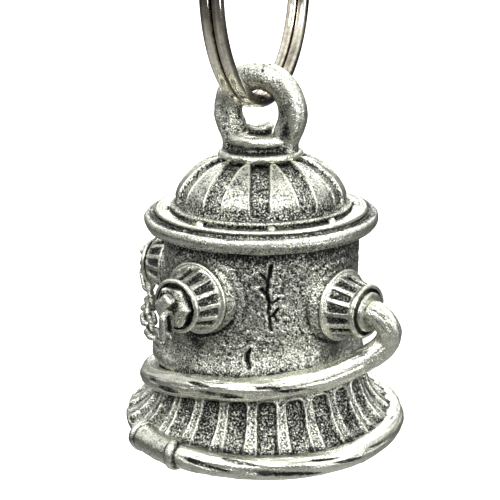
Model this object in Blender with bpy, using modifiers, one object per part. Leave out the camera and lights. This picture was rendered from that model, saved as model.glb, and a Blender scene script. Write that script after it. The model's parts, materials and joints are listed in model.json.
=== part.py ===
"""A small hanging bell cast in the shape of a fire hydrant, on a two-turn split ring.

Lengths below are in millimetres. Heights are measured up from the bell's mouth, and azimuths
in degrees from the front (-Y), positive towards +X. The finished model is in metres, with its
origin where the split ring hangs: the inner surface of the ring, at its top.
"""

import math

import bmesh
import bpy
from mathutils import Matrix, Vector

MM = 0.001
GAP = 0.04  # left between neighbouring pieces

# Base and barrel
INNER_RADIUS = 8.3
MOUTH_INNER_RADIUS = 10.9
FOOT_RADIUS = 12.2
RIM_RADIUS = 14.25
WAIST_HEIGHT = 7.5
SKIRT_PANELS = 24
SKIRT_PANEL_WIDTH = 2.0
SKIRT_PANEL_DEPTH = 0.3
SKIRT_PANEL_SPAN = (2.35, 6.75)
SKIRT_PANEL_PHASE = 1.5
BARREL_RADIUS = 9.75
BARREL_TOP = 21.56

# Flange, bonnet and neck
ROLL_RADIUS = 0.95
ROLL_CENTRE = (10.76, 22.52)
LEDGE_BOTTOM = 22.9
LEDGE_FLOOR = 23.35
BONNET_TOP = 28.5
BONNET_FOOT_RADIUS = 8.95
BONNET_PANELS = 11
BONNET_PANEL_WIDTH = 1.9
BONNET_PANEL_DEPTH = 0.28
BONNET_PANEL_REACH = (4.5, 8.55)
BONNET_PANEL_PHASE = -1.3
ROOF_UNDERSIDE = 26.9
BOLT_AZIMUTHS = (5, 44, 92, 137, 182, 228, 274, 322)
BOLT_RADIUS = 0.43
BOLT_CIRCLE_RADIUS = 9.52
NECK_RADIUS = 4.2
NECK_BOTTOM = BONNET_TOP + GAP
NECK_TOP = 29.3
BOSS_RADIUS = 3.15
BOSS_TOP = 30.9
STUD_RADIUS = 1.37
STUD_TOP = 31.85

# Hanging loop and split ring; both stand on planes turned about the bell's axis
LOOP_TURN = -26.0
RING_TURN = -22.0
LOOP_HEIGHT = 32.97
LOOP_RADIUS = 3.5
LOOP_WIRE_RADIUS = 1.4
LOOP_FOOT_HALF_WIDTH = 2.6
LOOP_FOOT_BEND = 29.7
RING_INNER_RADIUS = 10.75
RING_WIRE = (1.25, 1.1)  # across the ring, and along its axis
RING_WIRE_CHAMFER = 0.26
RING_PITCH = RING_WIRE[1] + GAP
RING_BOTTOM_INSIDE = 34.8
RING_END_ANGLE = 15.0  # half of the gap between the two wire ends
RING_STEPS_PER_TURN = 32
RING_SPLIT_ANGLE = 165.0  # where the wire steps from one turn to the next
RING_HEIGHT = RING_BOTTOM_INSIDE + RING_INNER_RADIUS
HANG_HEIGHT = RING_HEIGHT + RING_INNER_RADIUS

# Outlets: name, azimuth, height, what closes it
OUTLETS = (
    ("front_left", -37.5, 16.6, "nut"),
    ("right", 48.0, 15.3, "hose"),
    ("back_right", 139.0, 17.0, "nut"),
    ("back_left", -122.0, 15.9, "nut"),
)
OUTLET_FOOT_RADIUS = 3.85
OUTLET_BASE_RADIUS = 3.48
OUTLET_CONE = ((10.45, 3.25), (12.95, 2.42))  # distance from the bell's axis, radius
OUTLET_WINDOWS = 14
OUTLET_WINDOW_DEPTH = 0.3
OUTLET_WINDOW_WIDTH = 0.85
COLLAR_SPAN = (12.99, 13.5)
COLLAR_RADIUS = 2.6
COLLAR_BORE_RADIUS = 2.12
NUT_RADIUS = 1.95
NUT_FACE = 14.2
LUG_SIZE = (1.1, 1.75, 0.75)
LUG_PLACE = (-0.25, 0.4)  # on the nut's face
LUG_LEAN = -42.0
FERRULE_RADIUS = 1.9
FERRULE_FACE = 13.85

# Hose: azimuth (falling as it winds round), distance from the axis, height
HOSE_RADIUS = 1.18
HOSE_ROUTE = (
    (48.0, 13.94, 15.3),
    (48.0, 14.15, 15.3),
    (48.05, 14.5, 15.24),
    (48.8, 15.1, 14.75),
    (50.5, 15.45, 13.5),
    (50.0, 14.85, 12.0),
    (43.0, 13.35, 10.45),
    (31.0, 11.95, 9.3),
    (15.0, 11.15, 8.75),
    (-2.0, 10.98, 8.4),
    (-20.0, 10.98, 8.15),
    (-40.0, 11.1, 7.75),
    (-62.0, 11.3, 6.95),
    (-90.0, 11.5, 5.8),
    (-125.0, 11.95, 4.9),
    (-165.0, 12.45, 3.7),
    (-205.0, 13.05, 2.5),
    (-235.0, 13.4, 1.65),
    (-265.0, 13.55, 1.4),
    (-300.0, 13.5, 1.37),
    (-330.0, 13.5, 1.37),
    (-360.0, 13.5, 1.4),
    (-380.0, 13.5, 1.5),
    (-396.3, 13.5, 1.6),
)
HOSE_STEPS = 3  # between neighbouring points of the route
COUPLING_BANDS = (-38.5, -61.8)
COUPLING_BAND_WIDTH = 0.8
COUPLING_BAND_RADIUS = 1.54
COUPLING_SLEEVE_RADIUS = 1.36

# Cap chain, from the front-left nut to the back-left one
CHAIN_ROUTE = (
    (-35.6, 15.3, 16.25),
    (-35.9, 15.2, 14.7),
    (-38.5, 14.4, 13.3),
    (-48.0, 13.2, 12.6),
    (-60.0, 12.3, 12.3),
    (-75.0, 11.75, 12.5),
    (-90.0, 11.65, 12.7),
    (-104.0, 11.8, 12.2),
    (-114.0, 12.7, 11.8),
    (-121.5, 14.1, 12.3),
    (-125.0, 15.3, 14.2),
)
CHAIN_WIRE_RADIUS = 0.25
CHAIN_LINK_HALF_WIDTH = 0.57
CHAIN_LINKS = 13

# Clapper
STAPLE_RADIUS = 1.35
STAPLE_WIRE_RADIUS = 0.35
STAPLE_BAR_HEIGHT = 24.6
LINK_RADIUS = 1.25
LINK_WIRE_RADIUS = 0.3
RUNNING_GAP = 0.03
EYE_RADIUS = 0.95
EYE_WIRE_RADIUS = 0.32
BOB_RADIUS = 2.4
BOB_HEIGHT = 5.6
LINK_HEIGHT = STAPLE_BAR_HEIGHT + STAPLE_WIRE_RADIUS + LINK_WIRE_RADIUS + RUNNING_GAP - LINK_RADIUS
CLAPPER_PIVOT_HEIGHT = LINK_HEIGHT - LINK_RADIUS
EYE_HEIGHT = CLAPPER_PIVOT_HEIGHT + LINK_WIRE_RADIUS + EYE_WIRE_RADIUS + RUNNING_GAP - EYE_RADIUS

SEGMENTS = 40
MERGE_DISTANCE = 1e-7  # metres


def clear_scene():
    for obj in list(bpy.data.objects):
        bpy.data.objects.remove(obj, do_unlink=True)


def new_collection(name):
    collection = bpy.data.collections.new(name)
    bpy.context.scene.collection.children.link(collection)
    return collection


def new_material(name, color, roughness):
    material = bpy.data.materials.new(name)
    material.use_nodes = True
    shader = material.node_tree.nodes["Principled BSDF"]
    shader.inputs["Base Color"].default_value = (*color, 1.0)
    shader.inputs["Roughness"].default_value = roughness
    shader.inputs["Metallic"].default_value = 1.0
    return material


clear_scene()
BELL = new_collection("hydrant_bell")
CUTTERS = new_collection("cutters")
METAL_FINISHES = {
    "pewter_bright": ((0.66, 0.66, 0.63), 0.28),
    "pewter_antiqued": ((0.30, 0.30, 0.29), 0.5),
    "ring_nickel": ((0.72, 0.69, 0.62), 0.16),
    "clapper_wire": ((0.55, 0.55, 0.54), 0.3),
}


# Placing


def polar(azimuth, radius, height):
    """A point in millimetres from its azimuth, its distance from the bell's axis and its height."""
    angle = math.radians(azimuth)
    return Vector((radius * math.sin(angle), -radius * math.cos(angle), height))


def outward(azimuth):
    """Turns local Z to point out from the bell's axis, and local Y up."""
    return Matrix.Rotation(math.radians(azimuth), 4, "Z") @ Matrix.Rotation(math.pi / 2, 4, "X")


def pivot(name, height, parent=None):
    """An empty on the bell's axis, which the pieces that turn about it are parented to."""
    empty = bpy.data.objects.new(name, None)
    BELL.objects.link(empty)
    empty.empty_display_size = 2 * MM
    empty["height"] = height
    empty.parent = parent
    base = parent["height"] if parent else HANG_HEIGHT
    empty.location.z = (height - base) * MM
    return empty


HANG_POINT = pivot("hang_point", HANG_HEIGHT)
BELL_SWING = pivot("bell_swing", LOOP_HEIGHT, HANG_POINT)
LINK_SWING = pivot("link_swing", STAPLE_BAR_HEIGHT, BELL_SWING)
CLAPPER_SWING = pivot("clapper_swing", CLAPPER_PIVOT_HEIGHT, LINK_SWING)


def place(obj, parent, matrix=None):
    """Parents an object whose mesh is in millimetre coordinates of the bell, already in metres."""
    obj.parent = parent
    down = Matrix.Translation((0, 0, -parent["height"] * MM))
    obj.matrix_local = down @ (matrix if matrix else Matrix.Identity(4))


def in_mm(matrix):
    """The same placing with its translation given in millimetres."""
    scaled = matrix.copy()
    scaled.translation *= MM
    return scaled


def add_piece(name, data, finish, parent=BELL_SWING, matrix=None):
    obj = bpy.data.objects.new(name, data)
    BELL.objects.link(obj)
    data.materials.append(new_material(name, *METAL_FINISHES[finish]))
    if isinstance(data, bpy.types.Mesh):
        data.shade_smooth()
        data.set_sharp_from_angle(angle=math.radians(38))
    place(obj, parent, in_mm(matrix) if matrix else None)
    return obj


def add_cutter(name, data, matrix=None):
    obj = bpy.data.objects.new(name, data)
    CUTTERS.objects.link(obj)
    obj.hide_render = True
    obj.display_type = "WIRE"
    place(obj, BELL_SWING, in_mm(matrix) if matrix else None)
    return obj


# Shapes


def profile_mesh(name, points, closed):
    """A profile of (radius, height) points in millimetres, for a Screw about Z."""
    mesh = bpy.data.meshes.new(name)
    edges = [(i, i + 1) for i in range(len(points) - 1)]
    if closed:
        edges.append((len(points) - 1, 0))
    mesh.from_pydata([(r * MM, 0, z * MM) for r, z in points], edges, [])
    return mesh


def turn(obj, segments=SEGMENTS):
    screw = obj.modifiers.new("Turn", "SCREW")
    screw.steps = segments
    screw.render_steps = segments
    screw.use_merge_vertices = True
    screw.merge_threshold = MERGE_DISTANCE
    screw.use_smooth_shade = True
    return obj


def turned(name, points, finish, closed=False, segments=SEGMENTS, **placing):
    """A turned piece. An open profile starts and ends on the axis; a closed one makes a ring."""
    return turn(add_piece(name, profile_mesh(name, points, closed), finish, **placing), segments)


def turned_cutter(name, points, closed=False, segments=SEGMENTS, matrix=None):
    return turn(add_cutter(name, profile_mesh(name, points, closed), matrix), segments)


def boolean(obj, other, operation="DIFFERENCE"):
    modifier = obj.modifiers.new(other.name, "BOOLEAN")
    modifier.operation = operation
    modifier.object = other
    modifier.solver = "EXACT"
    return obj


def arc(centre, radius, start, end, steps):
    """Points on an arc in the plane of (radius, height), angles in degrees from +radius."""
    angles = [math.radians(start + (end - start) * i / steps) for i in range(steps + 1)]
    return [(centre[0] + radius * math.cos(a), centre[1] + radius * math.sin(a)) for a in angles]


def smooth_route(points, steps):
    """A Catmull-Rom curve through the given (azimuth, radius, height), in steps for each span."""
    ends = [points[0], *points, points[-1]]
    route = []
    for before, start, end, after in zip(ends, ends[1:], ends[2:], ends[3:]):
        for step in range(steps):
            t = step / steps
            weights = (
                (-t + 2 * t * t - t**3) / 2,
                (2 - 5 * t * t + 3 * t**3) / 2,
                (t + 4 * t * t - 3 * t**3) / 2,
                (t**3 - t * t) / 2,
            )
            four = (before, start, end, after)
            route.append(polar(*(sum(w * p[k] for w, p in zip(weights, four)) for k in range(3))))
    return [*route, polar(*points[-1])]


def evenly_spread(route, count):
    """The given number of points, equal distances apart along a route."""
    lengths = [0.0]
    for start, end in zip(route, route[1:]):
        lengths.append(lengths[-1] + (end - start).length)
    spread = []
    index = 0
    for i in range(count):
        want = lengths[-1] * i / (count - 1)
        while index < len(route) - 2 and lengths[index + 1] < want:
            index += 1
        span = lengths[index + 1] - lengths[index]
        spread.append(route[index].lerp(route[index + 1], (want - lengths[index]) / span))
    return spread


def wire_curve(name, points, radius, closed=False, sides=8):
    """A round wire through points in millimetres."""
    curve = bpy.data.curves.new(name, "CURVE")
    curve.dimensions = "3D"
    curve.bevel_depth = radius * MM
    curve.bevel_resolution = (sides - 4) // 2
    curve.use_fill_caps = not closed
    spline = curve.splines.new("POLY")
    spline.points.add(len(points) - 1)
    for point, position in zip(spline.points, points):
        point.co = (*(Vector(position) * MM), 1.0)
    spline.use_cyclic_u = closed
    return curve


def wire_mesh(name, points, radius, closed=False, sides=8):
    """The same wire as a closed mesh, for a piece that is cut or joined."""
    curve = wire_curve(name, points, radius, closed, sides)
    holder = bpy.data.objects.new(name, curve)
    bpy.context.scene.collection.objects.link(holder)
    graph = bpy.context.evaluated_depsgraph_get()
    mesh = bpy.data.meshes.new_from_object(holder.evaluated_get(graph))
    bpy.data.objects.remove(holder, do_unlink=True)
    bpy.data.curves.remove(curve)
    shape = bmesh.new()
    shape.from_mesh(mesh)
    bmesh.ops.remove_doubles(shape, verts=shape.verts, dist=MERGE_DISTANCE)
    bmesh.ops.recalc_face_normals(shape, faces=shape.faces)
    shape.to_mesh(mesh)
    shape.free()
    mesh.name = name
    return mesh


def prism(shape, outline, low, high, matrix):
    """Adds to a bmesh the outline, in local X and Y, extruded from low to high along local Z."""
    rings = []
    for depth in (low, high):
        rings.append([shape.verts.new((matrix @ Vector((x, y, depth))) * MM) for x, y in outline])
    bottom, top = rings
    shape.faces.new(reversed(bottom))
    shape.faces.new(top)
    for i in range(len(outline)):
        j = (i + 1) % len(outline)
        shape.faces.new((bottom[i], bottom[j], top[j], top[i]))


def ring_of_prisms(name, outline, count, phase, low, high, matrix_at):
    """One cutter mesh of equal prisms, spread evenly; matrix_at gives the placing at an azimuth."""
    shape = bmesh.new()
    for index in range(count):
        prism(shape, outline, low, high, matrix_at(phase + 360 * index / count))
    bmesh.ops.recalc_face_normals(shape, faces=shape.faces)
    mesh = bpy.data.meshes.new(name)
    shape.to_mesh(mesh)
    shape.free()
    return mesh


def strip_outline(half_width, low, high, rounding=0.0, steps=2):
    """An upright strip, counter-clockwise, with its top corners rounded if asked."""
    points = [(half_width, low)]
    if rounding:
        points += arc((half_width - rounding, high - rounding), rounding, 0, 90, steps)
    else:
        points.append((half_width, high))
    return points + [(-x, y) for x, y in reversed(points)]


# Base, barrel, flange and bonnet


SKIRT_OUTSIDE = (
    (10.3, WAIST_HEIGHT),
    (10.45, 6.5),
    (10.95, 5.1),
    (11.7, 3.8),
    (13.1, 2.5),
)


def make_hose_channel():
    route = smooth_route(HOSE_ROUTE, HOSE_STEPS)
    return add_cutter("hose_channel", wire_mesh("hose_channel", route, HOSE_RADIUS + GAP))


def make_coupling_channel():
    _, radius, height = HOSE_ROUTE[-1]
    route = [polar(azimuth, radius, height) for azimuth in range(-34, -70, -4)]
    flat_side = (COUPLING_BAND_RADIUS + GAP) / math.cos(math.pi / 12)
    mesh = wire_mesh("coupling_channel", route, flat_side, sides=12)
    return add_cutter("coupling_channel", mesh)


def make_base_skirt(channels):
    outside = list(SKIRT_OUTSIDE)
    rim = [*arc((RIM_RADIUS - 0.5, 1.72), 0.5, 70, -35, 3), (FOOT_RADIUS, 0)]
    inside = [(MOUTH_INNER_RADIUS, 0), (9.7, 3.2), (INNER_RADIUS, WAIST_HEIGHT)]
    profile = outside + rim + inside
    skirt = turned("base_skirt", profile, "pewter_antiqued", closed=True, segments=48)
    core = [(0, 9)] + [(r - SKIRT_PANEL_DEPTH, z) for r, z in ((10.3, 9), *outside)]
    core += [(14.5, 1.9), (14.5, 0.5), (0, 0.5)]
    low, high = SKIRT_PANEL_SPAN
    outline = strip_outline(SKIRT_PANEL_WIDTH / 2, low, high, 0.4, steps=1)
    mesh = ring_of_prisms(
        "skirt_panels", outline, SKIRT_PANELS, SKIRT_PANEL_PHASE, 9.0, 15.0, outward
    )
    panels = add_cutter("skirt_panels", mesh)
    boolean(panels, turned_cutter("skirt_core", core))
    boolean(skirt, panels)
    for channel in channels:
        boolean(skirt, channel)


def make_barrel(channel):
    bottom = WAIST_HEIGHT + GAP
    profile = [(BARREL_RADIUS - 0.2, BARREL_TOP), (BARREL_RADIUS, 20.2), (BARREL_RADIUS, 11.2)]
    profile += [(9.9, 10.3), (10.2, 9.7), (10.42, 9.1), (10.42, 8.5), (10.3, 8.0), (10.3, bottom)]
    profile += [(INNER_RADIUS, bottom), (INNER_RADIUS, BARREL_TOP)]
    barrel = turned("barrel", profile, "pewter_antiqued", closed=True)
    boolean(barrel, channel)


def make_flange_ring():
    roll = arc(ROLL_CENTRE, ROLL_RADIUS, 60, -90, 5)
    bottom = BARREL_TOP + GAP
    profile = [(INNER_RADIUS, LEDGE_BOTTOM - GAP), (10.6, LEDGE_BOTTOM - GAP), *roll]
    profile += [(10.0, bottom), (INNER_RADIUS, bottom)]
    turned("flange_ring", profile, "pewter_bright", closed=True)


def make_bonnet_ledge():
    edge = arc((10.33, 23.42), 0.25, 145, -65, 3)
    bore = BONNET_FOOT_RADIUS + 2 * GAP
    profile = [(bore, LEDGE_FLOOR), (9.95, LEDGE_FLOOR), *edge, (10.3, LEDGE_BOTTOM)]
    profile += [(bore, LEDGE_BOTTOM)]
    turned("bonnet_ledge", profile, "pewter_bright", closed=True)


DOME_OUTSIDE = (
    (4.3, BONNET_TOP),
    (5.2, 28.27),
    (6.2, 27.7),
    (7.1, 26.98),
    (7.8, 26.25),
    (8.3, 25.45),
    (8.6, 24.2),
)


def make_bonnet():
    bead = [(8.85, 24.12), (9.03, 23.9), (BONNET_FOOT_RADIUS, 23.65)]
    inside = [(8.3, LEDGE_BOTTOM), (8.05, 23.8), (7.4, 25.2), (6.4, 26.2), (5.1, ROOF_UNDERSIDE)]
    foot = [(BONNET_FOOT_RADIUS, LEDGE_BOTTOM)]
    profile = [(0, BONNET_TOP), *DOME_OUTSIDE, *bead, *foot, *inside, (0, ROOF_UNDERSIDE)]
    bonnet = turned("bonnet", profile, "pewter_bright")
    core = [(0, BONNET_TOP - BONNET_PANEL_DEPTH)]
    core += [(r - 0.7 * BONNET_PANEL_DEPTH, z - 0.7 * BONNET_PANEL_DEPTH) for r, z in DOME_OUTSIDE]
    core += [(8.5, 23.5), (0, 23.5)]
    near, far = BONNET_PANEL_REACH
    outline = strip_outline(BONNET_PANEL_WIDTH / 2, near, far, 0.8)
    front = Matrix.Rotation(math.pi, 4, "Z")

    def upright(azimuth):
        return Matrix.Rotation(math.radians(azimuth), 4, "Z") @ front

    mesh = ring_of_prisms(
        "bonnet_panels", outline, BONNET_PANELS, BONNET_PANEL_PHASE, 23.9, 30.0, upright
    )
    panels = add_cutter("bonnet_panels", mesh)
    boolean(panels, turned_cutter("bonnet_core", core))
    boolean(bonnet, panels)


def make_bonnet_bolts():
    foot = LEDGE_FLOOR + GAP
    head = arc((0, foot + 0.08), BOLT_RADIUS, 90, 0, 4)
    head[0] = (0, head[0][1])
    for number, azimuth in enumerate(BOLT_AZIMUTHS, 1):
        at = Matrix.Translation(polar(azimuth, BOLT_CIRCLE_RADIUS, 0))
        profile = [*head, (BOLT_RADIUS, foot), (0, foot)]
        turned(f"bonnet_bolt_{number}", profile, "pewter_bright", segments=8, matrix=at)


def make_neck_and_stud():
    edge = arc((NECK_RADIUS - 0.35, NECK_BOTTOM + 0.38), 0.36, 80, -80, 5)
    profile = [(0, NECK_TOP), (3.4, NECK_TOP), *edge, (3.6, NECK_BOTTOM), (0, NECK_BOTTOM)]
    turned("neck_ring", profile, "pewter_bright", segments=32)
    bottom = NECK_TOP + GAP
    profile = [(0, BOSS_TOP), (2.65, BOSS_TOP), (3.05, BOSS_TOP - 0.16)]
    profile += [(BOSS_RADIUS, BOSS_TOP - 0.4), (BOSS_RADIUS, BOSS_TOP - 0.7)]
    profile += [(3.0, BOSS_TOP - 0.95), (2.75, BOSS_TOP - 1.07), (2.75, bottom), (0, bottom)]
    boss = turned("top_boss", profile, "pewter_bright", segments=32)
    mesh = wire_mesh("loop_sockets", loop_route(NECK_TOP - 1), LOOP_WIRE_RADIUS + GAP, sides=12)
    boolean(boss, add_cutter("loop_sockets", mesh, loop_turn()))
    foot = BOSS_TOP + GAP
    profile = [(0, STUD_TOP), (1.0, STUD_TOP), (STUD_RADIUS, STUD_TOP - 0.3)]
    profile += [(STUD_RADIUS, STUD_TOP - 0.55), (1.15, STUD_TOP - 0.7), (1.15, foot), (0, foot)]
    turned("operating_nut", profile, "pewter_bright", segments=20)


# Loop and ring


def loop_turn():
    return Matrix.Rotation(math.radians(LOOP_TURN), 4, "Z")


def loop_route(foot):
    """The loop's centre line in its own XZ plane: half a circle on two legs that lean inwards."""
    top = arc((0, LOOP_HEIGHT), LOOP_RADIUS, 0, 180, 14)
    leg = []
    for step in range(1, 5):
        t = step / 4
        lean = (LOOP_RADIUS - LOOP_FOOT_HALF_WIDTH) * (1 - math.cos(math.pi * t)) / 2
        leg.append((LOOP_RADIUS - lean, LOOP_HEIGHT + (LOOP_FOOT_BEND - LOOP_HEIGHT) * t))
    leg.append((LOOP_FOOT_HALF_WIDTH, foot))
    points = [*reversed(leg), *top, *((-x, z) for x, z in leg)]
    return [(x, 0, z) for x, z in points]


def make_hanging_loop():
    curve = wire_curve("hanging_loop", loop_route(NECK_TOP + GAP), LOOP_WIRE_RADIUS, sides=12)
    add_piece("hanging_loop", curve, "pewter_bright", matrix=loop_turn())


def ring_section():
    """The split ring's wire: a rectangle with its corners taken off."""
    across, along = RING_WIRE[0] / 2, RING_WIRE[1] / 2
    cut = RING_WIRE_CHAMFER
    points = [(across, along - cut), (across - cut, along), (cut - across, along), (-across, along - cut)]
    points += [(-x, -y) for x, y in points]
    curve = bpy.data.curves.new("ring_section", "CURVE")
    curve.dimensions = "2D"
    spline = curve.splines.new("POLY")
    spline.points.add(len(points) - 1)
    for point, (x, y) in zip(spline.points, reversed(points)):
        point.co = (x * MM, y * MM, 0, 1)
    spline.use_cyclic_u = True
    return add_cutter("ring_section", curve)


def make_split_ring():
    """Two flat turns of one wire, side by side, with one short step from the first to the second."""
    centre_radius = RING_INNER_RADIUS + RING_WIRE[0] / 2
    last = 720 - 2 * RING_END_ANGLE
    count = round(last / 360 * RING_STEPS_PER_TURN)
    curve = bpy.data.curves.new("split_ring", "CURVE")
    curve.dimensions = "3D"
    curve.twist_mode = "Z_UP"
    curve.bevel_mode = "OBJECT"
    curve.bevel_object = ring_section()
    curve.use_fill_caps = True
    spline = curve.splines.new("POLY")
    spline.points.add(count)
    for index, point in enumerate(spline.points):
        turned_by = RING_END_ANGLE + last * index / count
        step = min(max((turned_by - 360 + RING_END_ANGLE) / (2 * RING_END_ANGLE), 0), 1)
        side = (step * step * (3 - 2 * step) - 0.5) * RING_PITCH
        angle = math.radians(turned_by + RING_SPLIT_ANGLE)
        x, y = centre_radius * math.cos(angle), centre_radius * math.sin(angle)
        point.co = (x * MM, y * MM, side * MM, 1)
    stand = Matrix.Rotation(math.radians(RING_TURN), 4, "Z") @ Matrix.Rotation(math.pi / 2, 4, "Y")
    at = Matrix.Translation((0, 0, RING_HEIGHT)) @ stand
    add_piece("split_ring", curve, "ring_nickel", parent=HANG_POINT, matrix=at)


# Outlets


def outlet_matrix(azimuth, height):
    return Matrix.Translation((0, 0, height)) @ outward(azimuth)


def make_outlet(name, azimuth, height):
    at = outlet_matrix(azimuth, height)
    (cone_start, cone_radius), (cone_end, end_radius) = OUTLET_CONE
    profile = [(0, cone_end), (end_radius, cone_end), (cone_radius, cone_start)]
    profile += [(OUTLET_BASE_RADIUS, cone_start - 0.1), (OUTLET_BASE_RADIUS, cone_start - 0.4)]
    profile += [(OUTLET_FOOT_RADIUS, 9.4), (OUTLET_FOOT_RADIUS, 8.6), (0, 8.6)]
    body = turned(f"outlet_{name}", profile, "pewter_antiqued", segments=28, matrix=at)
    middle = cone_start + 0.1
    core = [(0, 14.0), (end_radius - OUTLET_WINDOW_DEPTH, cone_end)]
    core += [(cone_radius - OUTLET_WINDOW_DEPTH, cone_start), (cone_radius - OUTLET_WINDOW_DEPTH, 8.0)]
    core += [(0, 8.0)]
    outline = strip_outline(OUTLET_WINDOW_WIDTH / 2, middle, cone_end - 0.25)

    def across(angle):
        return at @ Matrix.Rotation(math.radians(angle), 4, "Z") @ Matrix.Rotation(math.pi / 2, 4, "X")

    mesh = ring_of_prisms(f"windows_{name}", outline, OUTLET_WINDOWS, 0.0, 1.4, 4.2, across)
    windows = add_cutter(f"windows_{name}", mesh)
    boolean(windows, turned_cutter(f"window_core_{name}", core, matrix=at))
    boolean(body, windows)
    boolean(body, bpy.data.objects["barrel_body"])


def make_collar(name, azimuth, height):
    back, face = COLLAR_SPAN
    bore = COLLAR_BORE_RADIUS
    profile = [(bore, face - 0.1), (COLLAR_RADIUS - 0.3, face), (COLLAR_RADIUS, face - 0.18)]
    profile += [(COLLAR_RADIUS, back + 0.12), (COLLAR_RADIUS - 0.1, back), (bore, back)]
    at = outlet_matrix(azimuth, height)
    turned(f"collar_{name}", profile, "pewter_bright", closed=True, segments=24, matrix=at)


def make_cap_nut(name, azimuth, height):
    """A six-sided nut with the lug that its chain is fastened to."""
    back, _ = COLLAR_SPAN
    shape = bmesh.new()
    at = outlet_matrix(azimuth, height)
    side = [(NUT_RADIUS * math.cos(math.pi * k / 3), NUT_RADIUS * math.sin(math.pi * k / 3)) for k in range(6)]
    prism(shape, side, back, NUT_FACE, Matrix.Identity(4))
    bmesh.ops.recalc_face_normals(shape, faces=shape.faces)
    mesh = bpy.data.meshes.new(f"cap_nut_{name}")
    shape.to_mesh(mesh)
    shape.free()
    nut = add_piece(f"cap_nut_{name}", mesh, "pewter_bright", matrix=at)
    width, tall, out = LUG_SIZE
    shape = bmesh.new()
    lug = strip_outline(width / 2, -tall / 2, tall / 2, 0.3)
    place_on_face = Matrix.Translation((*LUG_PLACE, 0)) @ Matrix.Rotation(math.radians(LUG_LEAN), 4, "Z")
    prism(shape, lug, NUT_FACE - 0.3, NUT_FACE + out, place_on_face)
    bmesh.ops.recalc_face_normals(shape, faces=shape.faces)
    mesh = bpy.data.meshes.new(f"lug_{name}")
    shape.to_mesh(mesh)
    shape.free()
    boolean(nut, add_cutter(f"lug_{name}", mesh, at), "UNION")


def make_hose_ferrule(azimuth, height):
    back, _ = COLLAR_SPAN
    profile = [(0, FERRULE_FACE), (FERRULE_RADIUS - 0.2, FERRULE_FACE)]
    profile += [(FERRULE_RADIUS, FERRULE_FACE - 0.2), (FERRULE_RADIUS, back), (0, back)]
    at = outlet_matrix(azimuth, height)
    turned("hose_ferrule", profile, "pewter_bright", segments=24, matrix=at)


def make_outlets():
    turned_cutter("barrel_body", [(0, 26), (BARREL_RADIUS + GAP, 26), (BARREL_RADIUS + GAP, 4), (0, 4)])
    for name, azimuth, height, closed_by in OUTLETS:
        make_outlet(name, azimuth, height)
        make_collar(name, azimuth, height)
        if closed_by == "nut":
            make_cap_nut(name, azimuth, height)
        else:
            make_hose_ferrule(azimuth, height)


# Hose and chain


def make_hose():
    curve = wire_curve("hose", smooth_route(HOSE_ROUTE, HOSE_STEPS), HOSE_RADIUS)
    add_piece("hose", curve, "pewter_bright")


def make_coupling():
    """The hose's end fitting: a sleeve between two bands, each its own short piece."""
    _, radius, height = HOSE_ROUTE[-1]
    half = math.degrees(COUPLING_BAND_WIDTH / 2 / radius)
    gap = math.degrees(2 * GAP / radius)
    near, far = COUPLING_BANDS
    spans = {
        "coupling_band_front": (near + half, near - half, COUPLING_BAND_RADIUS),
        "coupling_sleeve": (near - half - gap, far + half + gap, COUPLING_SLEEVE_RADIUS),
        "coupling_band_end": (far + half, far - half, COUPLING_BAND_RADIUS),
    }
    for name, (start, end, tube_radius) in spans.items():
        steps = math.ceil(abs(end - start) / 2)
        route = [polar(start + (end - start) * i / steps, radius, height) for i in range(steps + 1)]
        add_piece(name, wire_curve(name, route, tube_radius, sides=12), "pewter_bright")


def make_cap_chain():
    route = evenly_spread(smooth_route(CHAIN_ROUTE, 12), CHAIN_LINKS + 1)
    for number, (start, end) in enumerate(zip(route, route[1:]), 1):
        along = (end - start).normalized()
        middle = (start + end) / 2
        outwards = Vector((middle.x, middle.y, 0)).normalized()
        across = along.cross(outwards).normalized()
        side = along.cross(across).normalized() if number % 2 else across
        half_length = (end - start).length / 2 + CHAIN_WIRE_RADIUS + GAP
        straight = half_length - CHAIN_LINK_HALF_WIDTH
        outline = arc((straight, 0), CHAIN_LINK_HALF_WIDTH, -90, 90, 5)
        outline += arc((-straight, 0), CHAIN_LINK_HALF_WIDTH, 90, 270, 5)
        points = [middle + along * x + side * y for x, y in outline]
        name = f"chain_link_{number}"
        curve = wire_curve(name, points, CHAIN_WIRE_RADIUS, closed=True, sides=6)
        add_piece(name, curve, "pewter_bright")


# Clapper


def make_staple():
    """A bent wire cast into the roof. Its plane is square to the loop's."""
    bar = arc((0, STAPLE_BAR_HEIGHT + STAPLE_RADIUS), STAPLE_RADIUS, 180, 360, 12)
    top = ROOF_UNDERSIDE - 0.1
    points = [(-STAPLE_RADIUS, top), *bar, (STAPLE_RADIUS, top)]
    curve = wire_curve("clapper_staple", [(0, y, z) for y, z in points], STAPLE_WIRE_RADIUS)
    add_piece("clapper_staple", curve, "clapper_wire", matrix=loop_turn())


def make_clapper_link():
    circle = arc((0, LINK_HEIGHT), LINK_RADIUS, 0, 345, 23)
    points = [(x, 0, z) for x, z in circle]
    curve = wire_curve("clapper_link", points, LINK_WIRE_RADIUS, closed=True, sides=6)
    add_piece("clapper_link", curve, "clapper_wire", parent=LINK_SWING, matrix=loop_turn())


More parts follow.
